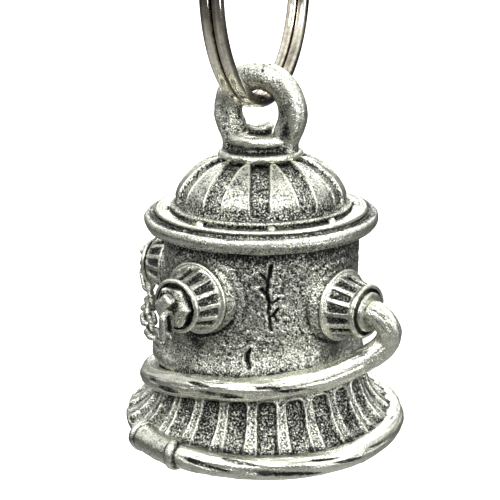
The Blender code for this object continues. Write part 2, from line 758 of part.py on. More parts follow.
def make_clapper():
    """A cast stem and bob, with an eye on top that hangs in the link."""
    stem_top = EYE_HEIGHT - EYE_RADIUS
    bob = arc((0, BOB_HEIGHT), BOB_RADIUS, 62, -90, 8)
    bob[-1] = (0, bob[-1][1])
    profile = [(0, stem_top), (0.4, stem_top), (0.45, stem_top - 2), (0.6, 10.5), (0.85, 8.4), *bob]
    stem = turned("clapper", profile, "clapper_wire", segments=20, parent=CLAPPER_SWING)
    circle = arc((0, EYE_HEIGHT), EYE_RADIUS, 0, 337.5, 15)
    points = [(0, y, z) for y, z in circle]
    mesh = wire_mesh("clapper_eye", points, EYE_WIRE_RADIUS, closed=True, sides=6)
    boolean(stem, add_cutter("clapper_eye", mesh, loop_turn()), "UNION")


hose_channel = make_hose_channel()
make_base_skirt((hose_channel, make_coupling_channel()))
make_barrel(hose_channel)
make_flange_ring()
make_bonnet_ledge()
make_bonnet()
make_bonnet_bolts()
make_neck_and_stud()
make_hanging_loop()
make_split_ring()
make_outlets()
make_hose()
make_coupling()
make_cap_chain()
make_staple()
make_clapper_link()
make_clapper()
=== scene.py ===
"""The look of a small pewter bell cast in the shape of a fire hydrant, hung on a split ring.

Each piece replaces the CAD node that it is named after, in the same place. Lengths are in
millimetres, heights are measured up from the bell's mouth, and azimuths in degrees from the front
(-Y), positive towards +X. Every piece carries two numbers at each point, which its material reads:
how dark the metal is there, partly the antiquing left in it and partly painted shade (under
overhangs, between parts, on undersides and inner faces), and "stipple", how rough the casting is.
"""

import itertools
import json
import math

import bpy
import numpy as np
from mathutils import Matrix, Vector


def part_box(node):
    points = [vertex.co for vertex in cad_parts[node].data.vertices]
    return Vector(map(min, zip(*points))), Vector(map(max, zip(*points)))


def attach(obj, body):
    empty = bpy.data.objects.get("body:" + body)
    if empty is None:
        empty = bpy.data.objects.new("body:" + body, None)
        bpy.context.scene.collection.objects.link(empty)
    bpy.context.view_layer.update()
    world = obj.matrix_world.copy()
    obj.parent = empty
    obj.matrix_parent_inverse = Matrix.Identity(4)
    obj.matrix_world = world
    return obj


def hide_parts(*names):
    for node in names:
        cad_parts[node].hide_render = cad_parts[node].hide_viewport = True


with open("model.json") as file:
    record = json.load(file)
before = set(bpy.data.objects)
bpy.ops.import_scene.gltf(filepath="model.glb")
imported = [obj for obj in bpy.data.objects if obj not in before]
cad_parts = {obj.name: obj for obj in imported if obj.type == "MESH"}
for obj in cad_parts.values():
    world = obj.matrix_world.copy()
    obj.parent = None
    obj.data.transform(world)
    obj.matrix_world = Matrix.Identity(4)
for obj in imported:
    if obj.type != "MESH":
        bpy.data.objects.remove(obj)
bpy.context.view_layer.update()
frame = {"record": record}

MM = 0.001
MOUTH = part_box("base_skirt")[0].z / MM  # the mouth's height in the frame

# Sizes, most of which the CAD also has
GAP = 0.04  # between neighbouring pieces
INNER_RADIUS = 8.3
RIM_RADIUS = 14.25
SKIRT_TOP = 7.5
SKIRT_PANELS = 24
BARREL_FOOT = 7.56
BARREL_RADIUS = 9.75
BARREL_TOP = 21.56
ROLL_CENTRE = (10.76, 22.52)
ROLL_RADIUS = 0.95
FLANGE_TOP = 22.86
LEDGE_INNER_RADIUS = 9.03
BONNET_PANELS = 11
BOLT_CIRCLE_RADIUS = 9.52
NECK_TOP = 29.3
LOOP_TURN = -26.0
LOOP_HEIGHT = 32.97
LOOP_RADIUS = 3.5
LOOP_WIRE_RADIUS = 1.4
LOOP_FOOT_HALF_WIDTH = 2.6
LOOP_FOOT_BEND = 29.7
RING_TURN = -22.0
RING_INNER_RADIUS = 10.75
RING_WIRE = (1.25, 1.1)
RING_PITCH = 1.14
RING_HEIGHT = 45.55
RING_END_ANGLE = 15.0
RING_SPLIT_ANGLE = 165.0
OUTLETS = (
    ("front_left", -37.5, 16.6, "nut"),
    ("right", 48.0, 15.3, "hose"),
    ("back_right", 139.0, 17.0, "nut"),
    ("back_left", -122.0, 15.9, "nut"),
)
OUTLET_WINDOWS = 14
COLLAR_BORE_RADIUS = 2.16
HOSE_RADIUS = 1.18
HOSE_ROUTE = (
    (48.0, 13.94, 15.3),
    (48.0, 14.15, 15.3),
    (48.05, 14.5, 15.24),
    (48.8, 15.1, 14.75),
    (50.5, 15.45, 13.5),
    (50.0, 14.85, 12.0),
    (43.0, 13.35, 10.45),
    (31.0, 11.95, 9.3),
    (15.0, 11.15, 8.75),
    (-2.0, 10.98, 8.4),
    (-20.0, 10.98, 8.15),
    (-40.0, 11.1, 7.75),
    (-62.0, 11.3, 6.95),
    (-90.0, 11.5, 5.8),
    (-125.0, 11.95, 4.9),
    (-165.0, 12.45, 3.7),
    (-205.0, 13.05, 2.5),
    (-235.0, 13.4, 1.65),
    (-265.0, 13.55, 1.4),
    (-300.0, 13.5, 1.37),
    (-330.0, 13.5, 1.37),
    (-360.0, 13.5, 1.4),
    (-380.0, 13.5, 1.5),
    (-396.3, 13.5, 1.6),
)
COUPLING_BANDS = (-38.5, -61.8)
BAND_RADIUS = 1.62
BAND_HALF_WIDTH = 0.4
SLEEVE_RADIUS = 1.36
CHAIN_ROUTE = (
    (-35.6, 15.3, 16.25),
    (-35.9, 15.2, 14.7),
    (-38.5, 14.4, 13.3),
    (-48.0, 13.2, 12.6),
    (-60.0, 12.3, 12.3),
    (-75.0, 11.75, 12.5),
    (-90.0, 11.65, 12.7),
    (-104.0, 11.8, 12.2),
    (-114.0, 12.7, 11.8),
    (-121.5, 14.1, 12.3),
    (-125.0, 15.3, 14.2),
)
CHAIN_LINKS = 13
CHAIN_WIRE_RADIUS = 0.31
CHAIN_OVERLAP = 0.29  # how far each link's middle line passes the point where it meets the next
CHAIN_LINK_HALF_WIDTH = 0.57
LUG_PLACE = (-0.25, 0.5)
LUG_HEIGHT = 14.4
LUG_HALF_SIZE = (0.6, 0.98, 0.58)
LUG_LEAN = -38.0
STAPLE_HEIGHT = 25.95
STAPLE_TOP = 26.88
STAPLE_RADIUS = 1.35
STAPLE_WIRE_RADIUS = 0.35
LINK_HEIGHT = 24.03
LINK_RADIUS = 1.25
LINK_WIRE_RADIUS = 0.3
EYE_HEIGHT = 22.48
EYE_RADIUS = 0.95
EYE_WIRE_RADIUS = 0.32
BOB_HEIGHT = 5.6
BOB_RADIUS = 2.4
BOLT_AZIMUTHS = (5, 44, 92, 137, 182, 228, 274, 322)
FLOOR_DROP = 110  # from the mouth, so that a view from below still sees the bell


# Numbers


def lattice(cell, seed):
    """Repeatable numbers from 0 to 1, one for each whole-number position."""
    x, y, z = (cell[..., k].astype(np.int64).astype(np.uint64) for k in range(3))
    mixed = x * np.uint64(73856093) ^ y * np.uint64(19349663) ^ z * np.uint64(83492791)
    mixed ^= np.uint64(seed * 2654435761 % 2**32)
    mixed = (mixed ^ mixed >> np.uint64(13)) * np.uint64(1274126177)
    mixed = (mixed ^ mixed >> np.uint64(16)) * np.uint64(2246822519)
    return (mixed >> np.uint64(9) & np.uint64(0xFFFF)).astype(float) / 65535


def noise(points, size, seed=0):
    """Smooth noise from -1 to 1; size is the size of its lumps."""
    scaled = points / np.asarray(size, float)
    cell = np.floor(scaled)
    part = scaled - cell
    part = part * part * (3 - 2 * part)
    total = np.zeros(points.shape[:-1])
    for corner in itertools.product((0, 1), repeat=3):
        share = np.prod(np.where(corner, part, 1 - part), axis=-1)
        total += share * lattice(cell + corner, seed)
    return 2 * total - 1


def ease(low, high, value):
    """A smooth step from 0 at low to 1 at high."""
    t = np.clip((value - low) / (high - low), 0, 1)
    return t * t * (3 - 2 * t)


def bump(distance, width):
    """1 where distance is 0, falling off over about width."""
    return np.exp(-((distance / width) ** 2))


def polar(azimuth, radius, height):
    angle = np.radians(azimuth)
    return np.stack([radius * np.sin(angle), -radius * np.cos(angle), height + 0 * angle], axis=-1)


def arc(centre, radius, start, end, steps):
    angles = np.radians(np.linspace(start, end, steps + 1))
    return [(centre[0] + radius * math.cos(a), centre[1] + radius * math.sin(a)) for a in angles]


def smooth_route(points, steps):
    """A Catmull-Rom curve through the given rows."""
    rows = np.array([points[0], *points, points[-1]], float)
    t = np.arange(steps)[:, None] / steps
    weights = ((-t + 2 * t**2 - t**3) / 2, (2 - 5 * t**2 + 3 * t**3) / 2)
    weights += ((t + 4 * t**2 - 3 * t**3) / 2, (t**3 - t**2) / 2)
    spans = [
        sum(w * rows[i + k] for k, w in enumerate(weights)) for i in range(len(points) - 1)
    ]
    return np.concatenate([*spans, rows[-1:]])


def lengths_along(points):
    steps = np.linalg.norm(np.diff(points, axis=0), axis=1)
    return np.concatenate([[0.0], np.cumsum(steps)])


def respaced(points, step):
    """The same line with a point about every step along it, and its corners kept."""
    points = np.asarray(points, float)
    rows = [points[:1]]
    for start, end in zip(points, points[1:]):
        count = max(1, math.ceil(np.linalg.norm(end - start) / step))
        rows.append(start + (end - start) * (np.arange(1, count + 1) / count)[:, None])
    return np.concatenate(rows)


def softened(points, times=2):
    """The same line with its corners cut, as a worn casting has them."""
    points = np.asarray(points, float)
    for _ in range(times):
        first, second = points[:-1], points[1:]
        cut = np.stack([first * 0.75 + second * 0.25, first * 0.25 + second * 0.75], axis=1)
        points = np.concatenate([points[:1], cut.reshape(-1, points.shape[1]), points[-1:]])
    return points


HOSE_LINE = smooth_route(HOSE_ROUTE, 14)
HOSE_POINTS = polar(HOSE_LINE[:, 0], HOSE_LINE[:, 1], HOSE_LINE[:, 2])


def from_hose(points):
    """How far each point is from the hose's surface."""
    nearest = np.full(points.shape[:-1], 99.0)
    for start in range(0, len(HOSE_POINTS), 4):
        away = points - HOSE_POINTS[start]
        nearest = np.minimum(nearest, np.einsum("...k,...k->...", away, away))
    return np.sqrt(nearest) - HOSE_RADIUS


def from_line(across, along, line):
    """Distance in a plane to a line of (across, along) points."""
    nearest = np.full(across.shape, 99.0)
    for (x0, y0), (x1, y1) in zip(line, line[1:]):
        dx, dy = x1 - x0, y1 - y0
        t = np.clip(((across - x0) * dx + (along - y0) * dy) / (dx * dx + dy * dy), 0, 1)
        nearest = np.minimum(nearest, np.hypot(across - x0 - t * dx, along - y0 - t * dy))
    return nearest


def from_panel(across, along, half_width, low, high, corner):
    """Distance to a round-cornered panel's outline, negative inside it."""
    x = np.abs(across) - half_width + corner
    y = np.abs(along - (low + high) / 2) - (high - low) / 2 + corner
    outside = np.hypot(np.maximum(x, 0), np.maximum(y, 0))
    return outside + np.minimum(np.maximum(x, y), 0) - corner


def streaks(azimuth, s, seed, length=7.0, width=0.22):
    """Noise drawn out round the bell."""
    angle = np.radians(azimuth)
    place = np.stack([np.sin(angle) * 9 / length, np.cos(angle) * 9 / length, s / width], -1)
    return noise(place, 1.0, seed)


def grain_along(s, angle, length, around, seed):
    """Noise drawn out along a tube. A higher around makes finer lines."""
    place = [s / length, np.cos(angle) * around, np.sin(angle) * around]
    return noise(np.stack(place, -1), 1.0, seed)


# Pieces


def add_piece(node, points, faces, antiquing_and_shade, stipple, body="bell", at=None, suffix="look"):
    """Makes the piece that stands for a CAD node. points are in millimetres."""
    points = np.asarray(points, float).reshape(-1, 3)
    if at is not None:
        matrix = np.array(at)
        points = points @ matrix[:3, :3].T + matrix[:3, 3]
    points = (points + (0, 0, MOUTH)) * MM
    name = f"{node}_{suffix}"
    mesh = bpy.data.meshes.new(name)
    mesh.from_pydata(points.tolist(), [], faces)
    for label, values in (("antiquing_and_shade", antiquing_and_shade), ("stipple", stipple)):
        attribute = mesh.attributes.new(label, "FLOAT", "POINT")
        values = np.broadcast_to(np.asarray(values, np.float32).reshape(-1), len(points))
        attribute.data.foreach_set("value", np.ascontiguousarray(values, np.float32))
    mesh.shade_smooth()
    piece = bpy.data.objects.new(name, mesh)
    bpy.context.scene.collection.objects.link(piece)
    slot = SLOTS[node]
    mesh.materials.append(MATERIALS[slot])
    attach(piece, body)
    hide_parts(node)
    return piece


def grid_faces(rows, columns, close_rows=False):
    """Quads over a grid of points, closed round its columns and, for a ring, its rows. Where its
    rows are left open, the faces run on to two end points that follow the grid's."""
    last_row = rows if close_rows else rows - 1
    i, j = np.meshgrid(np.arange(last_row), np.arange(columns), indexing="ij")
    i2, j2 = (i + 1) % rows, (j + 1) % columns
    quads = np.stack([i * columns + j, i * columns + j2, i2 * columns + j2, i2 * columns + j], -1)
    faces = quads.reshape(-1, 4).tolist()
    if not close_rows:
        count, last = rows * columns, (rows - 1) * columns
        for j in range(columns):
            k = (j + 1) % columns
            faces.append([count, k, j])
            faces.append([count + 1, last + j, last + k])
    return faces


def profile_normals(profile, closed):
    if closed:
        along = np.roll(profile, -1, 0) - np.roll(profile, 1, 0)
    else:
        along = np.gradient(profile, axis=0)
    normals = np.stack([along[:, 1], -along[:, 0]], -1)
    return normals / np.maximum(np.linalg.norm(normals, axis=1, keepdims=True), 1e-9)


def lathe(node, outside, inside, azimuths, shape, step=0.12, at=None, body="bell"):
    """Turns a profile round the Z axis. outside is the visible side, and is cut finely; inside
    goes on from its end. The profile closes on itself, or starts and ends on the axis.
    shape(azimuth, r, z, s, points) gives how far each point of the visible side moves out,
    how dark it is (antiquing and painted shade) and its stipple."""
    fine = respaced(outside, step)
    profile = np.concatenate([fine, np.asarray(inside, float)]) if len(inside) else fine
    closed = profile[0, 0] > 0 or profile[-1, 0] > 0
    normals = profile_normals(profile, closed)
    after = np.roll(profile, -1, axis=0)
    area = np.sum(profile[:, 0] * after[:, 1] - after[:, 0] * profile[:, 1])
    if area < 0:
        normals = -normals
    turn = np.linspace(-180, 180, azimuths, endpoint=False)[None, :]
    s = np.zeros(len(profile))
    s[: len(fine)] = lengths_along(fine)
    r, z = profile[:, :1], profile[:, 1:]
    flat = polar(turn + 0 * r, r + 0 * turn, z + 0 * turn)
    seen = (np.arange(len(profile)) < len(fine))[:, None] * np.ones(azimuths)
    spread = (turn + 0 * r, r + 0 * turn, z + 0 * turn, s[:, None] + 0 * turn)
    out, antiquing_and_shade, stipple = shape(*spread, flat)
    fade = np.clip(r / 0.3, 0, 1) * seen
    r2 = np.maximum(r + out * fade * normals[:, :1], 0.0)
    z2 = z + out * fade * normals[:, 1:]
    grid = polar(turn + 0 * r, r2, z2)
    antiquing_and_shade = np.where(seen > 0, antiquing_and_shade, 0.55) + 0 * seen
    stipple = np.where(seen > 0, stipple, 0.5) + 0 * seen
    rows = len(profile)
    if closed:
        faces = grid_faces(rows, azimuths, close_rows=True)
        points = grid.reshape(-1, 3)
    else:
        points = grid[1:-1].reshape(-1, 3)
        faces = grid_faces(rows - 2, azimuths)
        points = np.concatenate([points, [(0, 0, profile[0, 1]), (0, 0, profile[-1, 1])]])
        antiquing_and_shade, stipple = (
            np.concatenate([look[1:-1].reshape(-1), [look[0].mean(), look[-1].mean()]])
            for look in (antiquing_and_shade, stipple)
        )
    if area < 0:
        faces = [face[::-1] for face in faces]
    return add_piece(node, points, faces, antiquing_and_shade, stipple, body, at)


def frames_along(path, closed, first):
    """Two directions across the path at each of its points, carried along without twisting."""
    if closed:
        tangents = np.roll(path, -1, 0) - np.roll(path, 1, 0)
    else:
        tangents = np.gradient(path, axis=0)
    tangents /= np.linalg.norm(tangents, axis=1, keepdims=True)
    across = np.array(first, float)
    sides = []
    for tangent in tangents:
        across = across - tangent * np.dot(across, tangent)
        across /= np.linalg.norm(across)
        sides.append(across)
    sides = np.array(sides)
    return sides, np.cross(tangents, sides)


def sweep(node, path, radius, sides, first, shape, closed=False, section=None, **more):
    """A tube along a path. shape(s, angle, points) gives the same three numbers as in lathe, and
    section(angle) the tube's size across its two directions, if it isn't round."""
    path = np.asarray(path, float)
    u, v = frames_along(path, closed, first)
    angle = np.linspace(0, 2 * math.pi, sides, endpoint=False)
    x, y = section(angle) if section else (np.cos(angle) * radius, np.sin(angle) * radius)
    size = np.hypot(x, y)
    way = u[:, None] * (x / size)[:, None] + v[:, None] * (y / size)[:, None]
    points = path[:, None] + way * size[:, None]
    s = lengths_along(path)[:, None] + 0 * angle
    out, antiquing_and_shade, stipple = shape(s, angle[None, :] + 0 * s, points)
    antiquing_and_shade, stipple = antiquing_and_shade + 0 * s, stipple + 0 * s
    points = points + way * (out + 0 * s)[..., None]
    faces = grid_faces(len(path), sides, close_rows=closed)
    points = points.reshape(-1, 3)
    antiquing_and_shade, stipple = antiquing_and_shade.reshape(-1), stipple.reshape(-1)
    if not closed:
        points = np.concatenate([points, path[[0, -1]]])
        antiquing_and_shade = np.concatenate([antiquing_and_shade, [antiquing_and_shade[0], antiquing_and_shade[-1]]])
        stipple = np.concatenate([stipple, [stipple[0], stipple[-1]]])
    return add_piece(node, points, faces, antiquing_and_shade, stipple, **more)


# Materials


def fill_ramp(elements, stops):
    while len(elements) < len(stops):
        elements.new(0.5)
    for element, (position, color) in zip(elements, stops):
        element.position = position
        element.color = (*color, 1)


class Nodes:
    """Short names for building one material's nodes."""

    def __init__(self, name):
        self.material = bpy.data.materials.new(name)
        self.material.use_nodes = True
        self.tree = self.material.node_tree
        self.shader = self.tree.nodes["Principled BSDF"]

    def link(self, source, target):
        self.tree.links.new(source, target)

    def add(self, kind, **settings):
        node = self.tree.nodes.new(kind)
        for key, value in settings.items():
            setattr(node, key, value)
        return node

    def put(self, socket, value):
        if hasattr(value, "is_linked"):
            self.link(value, socket)
        else:
            socket.default_value = value

    def math(self, operation, a, b=0.0, c=0.0):
        node = self.add("ShaderNodeMath", operation=operation)
        for socket, value in zip(node.inputs, (a, b, c)):
            self.put(socket, value)
        return node.outputs[0]

    def attribute(self, name):
        return self.add("ShaderNodeAttribute", attribute_name=name).outputs["Fac"]

    def noise(self, size_mm, detail=2.0, roughness=0.5, stretch=None, distortion=0.0):
        place = self.add("ShaderNodeTexCoord").outputs["Object"]
        if stretch:
            mapping = self.add("ShaderNodeMapping")
            self.link(place, mapping.inputs["Vector"])
            mapping.inputs["Scale"].default_value = stretch
            place = mapping.outputs[0]
        node = self.add("ShaderNodeTexNoise")
        self.link(place, node.inputs["Vector"])
        node.inputs["Scale"].default_value = 1 / (size_mm * MM)
        node.inputs["Detail"].default_value = detail
        node.inputs["Roughness"].default_value = roughness
        node.inputs["Distortion"].default_value = distortion
        return node.outputs["Fac"]

    def ramp(self, value, stops):
        node = self.add("ShaderNodeValToRGB")
        self.link(value, node.inputs["Fac"])
        fill_ramp(node.color_ramp.elements, stops)
        return node.outputs["Color"]

    def bump(self, height, distance_mm, strength, normal=None):
        node = self.add("ShaderNodeBump")
        node.inputs["Strength"].default_value = strength
        node.inputs["Distance"].default_value = distance_mm * MM
        self.link(height, node.inputs["Height"])
        if normal:
            self.link(normal, node.inputs["Normal"])
        return node.outputs["Normal"]


def make_pewter(name, lift):
    """Cast pewter: bright where it is rubbed, near black where the antiquing stays and where the
    pieces carry painted shade. lift moves the whole finish towards dark."""
    n = Nodes(name)
    antiquing_and_shade, stipple = n.attribute("antiquing_and_shade"), n.attribute("stipple")
    grain = n.noise(0.18, 2.0, 0.7)
    lumps = n.noise(0.75, 3.0, 0.6)
    patches = n.noise(2.6, 2.0, 0.5, distortion=0.6)
    worn = n.math("MULTIPLY_ADD", n.math("SUBTRACT", lumps, 0.5), 0.7, antiquing_and_shade)
    worn = n.math("MULTIPLY_ADD", n.math("SUBTRACT", patches, 0.5), 0.4, worn)
    reach = n.math("MULTIPLY_ADD", stipple, 4.1, 0.7)
    worn = n.math("MULTIPLY_ADD", n.math("SUBTRACT", grain, 0.5), reach, worn)
    worn = n.math("ADD", worn, lift)
    stops = (
        (0.0, (0.86, 0.865, 0.76)),
        (0.2, (0.62, 0.63, 0.56)),
        (0.45, (0.28, 0.29, 0.255)),
        (0.7, (0.085, 0.085, 0.078)),
        (1.0, (0.016, 0.016, 0.016)),
    )
    n.link(n.ramp(worn, stops), n.shader.inputs["Base Color"])
    share = n.math("MINIMUM", n.math("MAXIMUM", worn, 0.0), 1.0)
    n.link(n.math("MULTIPLY_ADD", share, 0.3, 0.27), n.shader.inputs["Roughness"])
    n.shader.inputs["Metallic"].default_value = 1.0
    height = n.math("MULTIPLY", grain, n.math("MULTIPLY_ADD", stipple, 1.0, 0.14))
    rough = n.bump(n.math("MULTIPLY", height, -1.0), 0.16, 0.9)
    n.link(n.bump(lumps, 0.05, 0.6, rough), n.shader.inputs["Normal"])
    return n.material


def make_ring_metal():
    """Nickel plate, polished along the wire, with marks of wear, tarnish in its groove, and
    painted shade along the wire's flat sides.
    """
    n = Nodes("ring_nickel")
    marks = n.noise(0.5, 3.0, 0.6)
    drawn = n.noise(0.25, 2.0, 0.6, stretch=(1.0, 1.0, 0.08))
    tone = n.math("MULTIPLY_ADD", n.math("SUBTRACT", marks, 0.5), 0.8, n.attribute("antiquing_and_shade"))
    stops = ((0.0, (0.92, 0.88, 0.76)), (0.4, (0.52, 0.48, 0.40)), (0.8, (0.07, 0.055, 0.045)))
    n.link(n.ramp(tone, stops), n.shader.inputs["Base Color"])
    n.link(n.math("MULTIPLY_ADD", marks, 0.12, 0.06), n.shader.inputs["Roughness"])
    n.shader.inputs["Metallic"].default_value = 1.0
    n.link(n.bump(drawn, 0.01, 0.35), n.shader.inputs["Normal"])
    return n.material


def make_wire_metal():
    """Bare grey wire and casting metal, inside the bell."""
    n = Nodes("clapper_wire")
    marks = n.noise(0.8, 4.0, 0.6)
    tone = n.math("MULTIPLY_ADD", n.math("SUBTRACT", marks, 0.5), 1.1, n.attribute("antiquing_and_shade"))
    stops = ((0.0, (0.72, 0.72, 0.70)), (0.5, (0.42, 0.42, 0.40)), (1.0, (0.08, 0.08, 0.08)))
    n.link(n.ramp(tone, stops), n.shader.inputs["Base Color"])
    n.link(n.math("MULTIPLY_ADD", marks, 0.25, 0.2), n.shader.inputs["Roughness"])
    n.shader.inputs["Metallic"].default_value = 1.0
    n.link(n.bump(marks, 0.02, 0.4), n.shader.inputs["Normal"])
    return n.material


SLOTS = {row["node"]: row["material_slot"] for row in frame["record"]["subparts"]}
MATERIALS = {
    "pewter_bright": make_pewter("pewter_bright", 0.0),
    "pewter_antiqued": make_pewter("pewter_antiqued", 0.1),
    "ring_nickel": make_ring_metal(),
    "clapper_wire": make_wire_metal(),
}


# Base and barrel

SKIRT_OUTSIDE = ((10.3, SKIRT_TOP), (10.45, 6.5), (10.95, 5.1), (11.7, 3.8), (13.1, 2.5))
SKIRT_PANEL_SPAN = (2.35, 6.75)


def panel_relief(edge, depth):
    """A sunk panel with a raised line round it. edge is the distance to its outline."""
    return -depth * ease(0.04, -0.16, edge) + 0.1 * bump(edge - 0.12, 0.1)


def skirt_shape(azimuth, r, z, s, points):
    foot = int(np.argmax(r[:, 0]))
    low, high = np.interp(-np.array(SKIRT_PANEL_SPAN[::-1]), -z[:foot, 0], s[:foot, 0])
    pitch = 360 / SKIRT_PANELS
    offset = (azimuth - 1.5 + pitch / 2) % pitch - pitch / 2
    across = np.radians(offset) * r + 0.05 * noise(points, 0.9, 3)
    half = 0.86 + 0.16 * (s - low) / (high - low)
    edge = from_panel(across * 0.95 / half, s, 0.95, low, high + 0.6, 0.55)
    edge = edge + 0.04 * noise(points, 0.35, 4)
    inside = ease(0.02, -0.12, edge)
    line = bump(edge - 0.12, 0.11)
    rough = noise(points, 0.26, 6)
    out = panel_relief(edge, 0.36)
    out += 0.06 * noise(points, 2.4, 5) + 0.08 * inside * rough + 0.03 * (1 - inside) * rough
    hose = from_hose(points)
    down = ease(low, high, s)
    front = ease(72, 40, np.abs(azimuth - 6))
    antiquing_and_shade = 0.38 + 0.14 * noise(points, 1.2, 7) - 0.12 * down
    antiquing_and_shade += inside * (0.16 + 0.2 * front - 0.16 * down) - 0.32 * line
    antiquing_and_shade += 0.22 * inside * bump(edge + 0.14, 0.12)
    rim = ease(high + 0.2, high + 1.0, s)
    streak = streaks(azimuth, s, 8, 5.0, 0.3)
    antiquing_and_shade = antiquing_and_shade * (1 - rim) + rim * (0.2 + 0.25 * streak)
    # Painted shade: the skirt is darker where the hose lies close against it.
    antiquing_and_shade += 0.6 * ease(0.7, 0.05, hose)
    stipple = (0.75 + 0.25 * inside - 0.45 * line - 0.35 * rim) * (0.6 + 0.4 * front)
    return out, antiquing_and_shade, stipple


def make_skirt():
    outside = [*SKIRT_OUTSIDE, *arc((RIM_RADIUS - 0.5, 1.72), 0.5, 70, -60, 6), (12.2, 0)]
    outside = np.concatenate([[outside[0]], softened(outside[:-1]), [outside[-1]]])
    inside = [(10.9, 0), (9.7, 3.2), (INNER_RADIUS, SKIRT_TOP)]
    lathe("base_skirt", outside, inside, 720, skirt_shape)


# Lines of (azimuth, height)
MAIN_CRACK = ((4.4, 20.1), (4.0, 19.4), (3.0, 18.7), (2.2, 18.0), (2.6, 17.2))
MAIN_CRACK += ((3.2, 16.6), (2.9, 15.8), (3.7, 15.2), (3.9, 14.6), (4.9, 13.9))
CRACKS = (
    MAIN_CRACK,
    ((-1.4, 19.3), (0.6, 18.9), (2.2, 18.5)),
    ((-1.2, 17.8), (0.8, 17.5), (2.6, 17.4)),
    ((3.3, 16.5), (5.4, 16.4), (8.0, 16.8)),
    ((3.9, 15.0), (6.4, 15.3), (8.6, 15.9)),
    ((6.4, 15.3), (8.2, 14.7)),
    ((-7.3, 11.9), (-8.8, 11.3), (-9.2, 10.7), (-7.6, 10.1)),
)


def barrel_shape(azimuth, r, z, s, points):
    across = np.radians(azimuth) * BARREL_RADIUS
    bend = 0.12 * noise(points, 0.7, 11)
    crack = np.full(across.shape, 9.0)
    for line in CRACKS:
        placed = [(math.radians(a) * BARREL_RADIUS, h) for a, h in line]
        crack = np.minimum(crack, from_line(across + bend, z + bend, placed))
    crack = np.where(np.abs(azimuth) < 30, crack, 9.0)
    wide = 0.15 + 0.08 * noise(points, 0.6, 12)
    swell = bump(azimuth + 90, 34) * bump(z - 8.75, 0.95) * ease(7.5, 7.7, z)
    split = bump(crack, wide)
    halo = np.full(across.shape, 9.0)  # the distance from the nearest outlet's middle
    for _, turned, height, _ in OUTLETS:
        away = (azimuth - turned + 180) % 360 - 180
        distance = np.hypot(np.sin(np.radians(away)) * r, z - height)
        halo = np.minimum(halo, distance + (np.abs(away) > 90) * 9)
    hose = from_hose(points)
    smooth = ease(4.7, 3.8, halo)
    web = ease(0.0, 0.5, azimuth - 26) * ease(0.0, 0.5, 62 - azimuth)
    web = web * ease(12.3, 11.7, z + 0.05 * (azimuth - 45) ** 2 / 10)
    out = 0.07 * noise(points, 2.6, 13) + 0.04 * noise(points, 0.9, 14)
    out += 0.07 * (1 - 0.5 * smooth) * noise(points, 0.28, 15)
    out += 0.16 * ease(4.8, 3.9, halo) - 0.32 * split + 0.1 * bump(crack - 0.32, 0.13)
    out += 0.95 * swell
    swell = ease(0.12, 0.4, swell)
    antiquing_and_shade = 0.34 + 0.1 * noise(points, 2.8, 16) + 0.07 * ease(0, 14, azimuth) * ease(14.0, 17.0, z)
    # The first term is painted shade under the overhanging flange roll; the crack and its lips are
    # the metal's own.
    antiquing_and_shade += 0.5 * ease(19.7, 21.2, z) + 0.8 * split - 0.3 * bump(crack - 0.34, 0.13)
    antiquing_and_shade += 0.3 * bump(halo - 4.7, 0.16) * ease(-0.3, 0.5, noise(points, 2.0, 17)) - 0.12 * smooth
    # Painted shade where the hose lies against the barrel.
    antiquing_and_shade += 0.5 * ease(0.7, 0.05, hose) - 0.1 * ease(12.6, 11.6, z) * ease(9.0, 9.6, z)
    # Painted shade at the feet of the outlets, deeper on their lower side, and a painted shadow
    # below the front-left outlet, behind the chain.
    antiquing_and_shade += (0.2 + 0.4 * ease(17.5, 13.5, z)) * ease(4.25, 3.8, halo)
    antiquing_and_shade += 0.45 * bump(np.hypot((azimuth + 42) * 0.17, z - 12.3), 1.2)
    antiquing_and_shade = antiquing_and_shade * (1 - 0.6 * web) + 0.2 * web
    antiquing_and_shade += swell * (0.16 + 0.25 * streaks(azimuth, s, 18, 2.5, 0.4) - antiquing_and_shade)
    stipple = 0.72 - 0.15 * smooth - 0.5 * web - 0.3 * split
    stipple *= 1 - 0.6 * swell
    return out, antiquing_and_shade, stipple


def make_barrel():
    outside = [(9.55, BARREL_TOP), (9.75, 20.2), (9.75, 11.6), (9.8, 11.0), (9.98, 10.3)]
    outside += [(10.3, 9.6), (10.42, 9.1), (10.42, 8.5), (10.3, 8.0), (10.3, BARREL_FOOT)]
    inside = [(INNER_RADIUS, BARREL_FOOT), (INNER_RADIUS, BARREL_TOP)]
    lathe("barrel", outside, inside, 600, barrel_shape)


# Flange, bonnet and neck


def flange_shape(azimuth, r, z, s, points):
    lines = streaks(azimuth, s, 21)
    wide = streaks(azimuth, s, 22, 4.0, 0.6)
    turned = np.degrees(np.arctan2(z - ROLL_CENTRE[1], r - ROLL_CENTRE[0]))
    groove = ease(34, 50, turned + 6 * noise(points, 1.1, 20))
    lower = bump(turned + 38, 12)
    out = 0.035 * lines + 0.05 * noise(points, 2.2, 23) + 0.02 * noise(points, 0.5, 24)
    out = out - 0.24 * bump(turned - 60, 16) - 0.04 * lower
    # The groove on top holds antiquing. The underside of the roll, and most of all its band that
    # faces down on to the barrel, carry painted shade.
    antiquing_and_shade = 0.1 + 0.36 * lines + 0.16 * wide + 0.62 * groove + 0.22 * lower
    antiquing_and_shade += 0.5 * ease(-68, -82, turned)
    return out, antiquing_and_shade, 0.32 + 0.45 * groove + 0.3 * lower


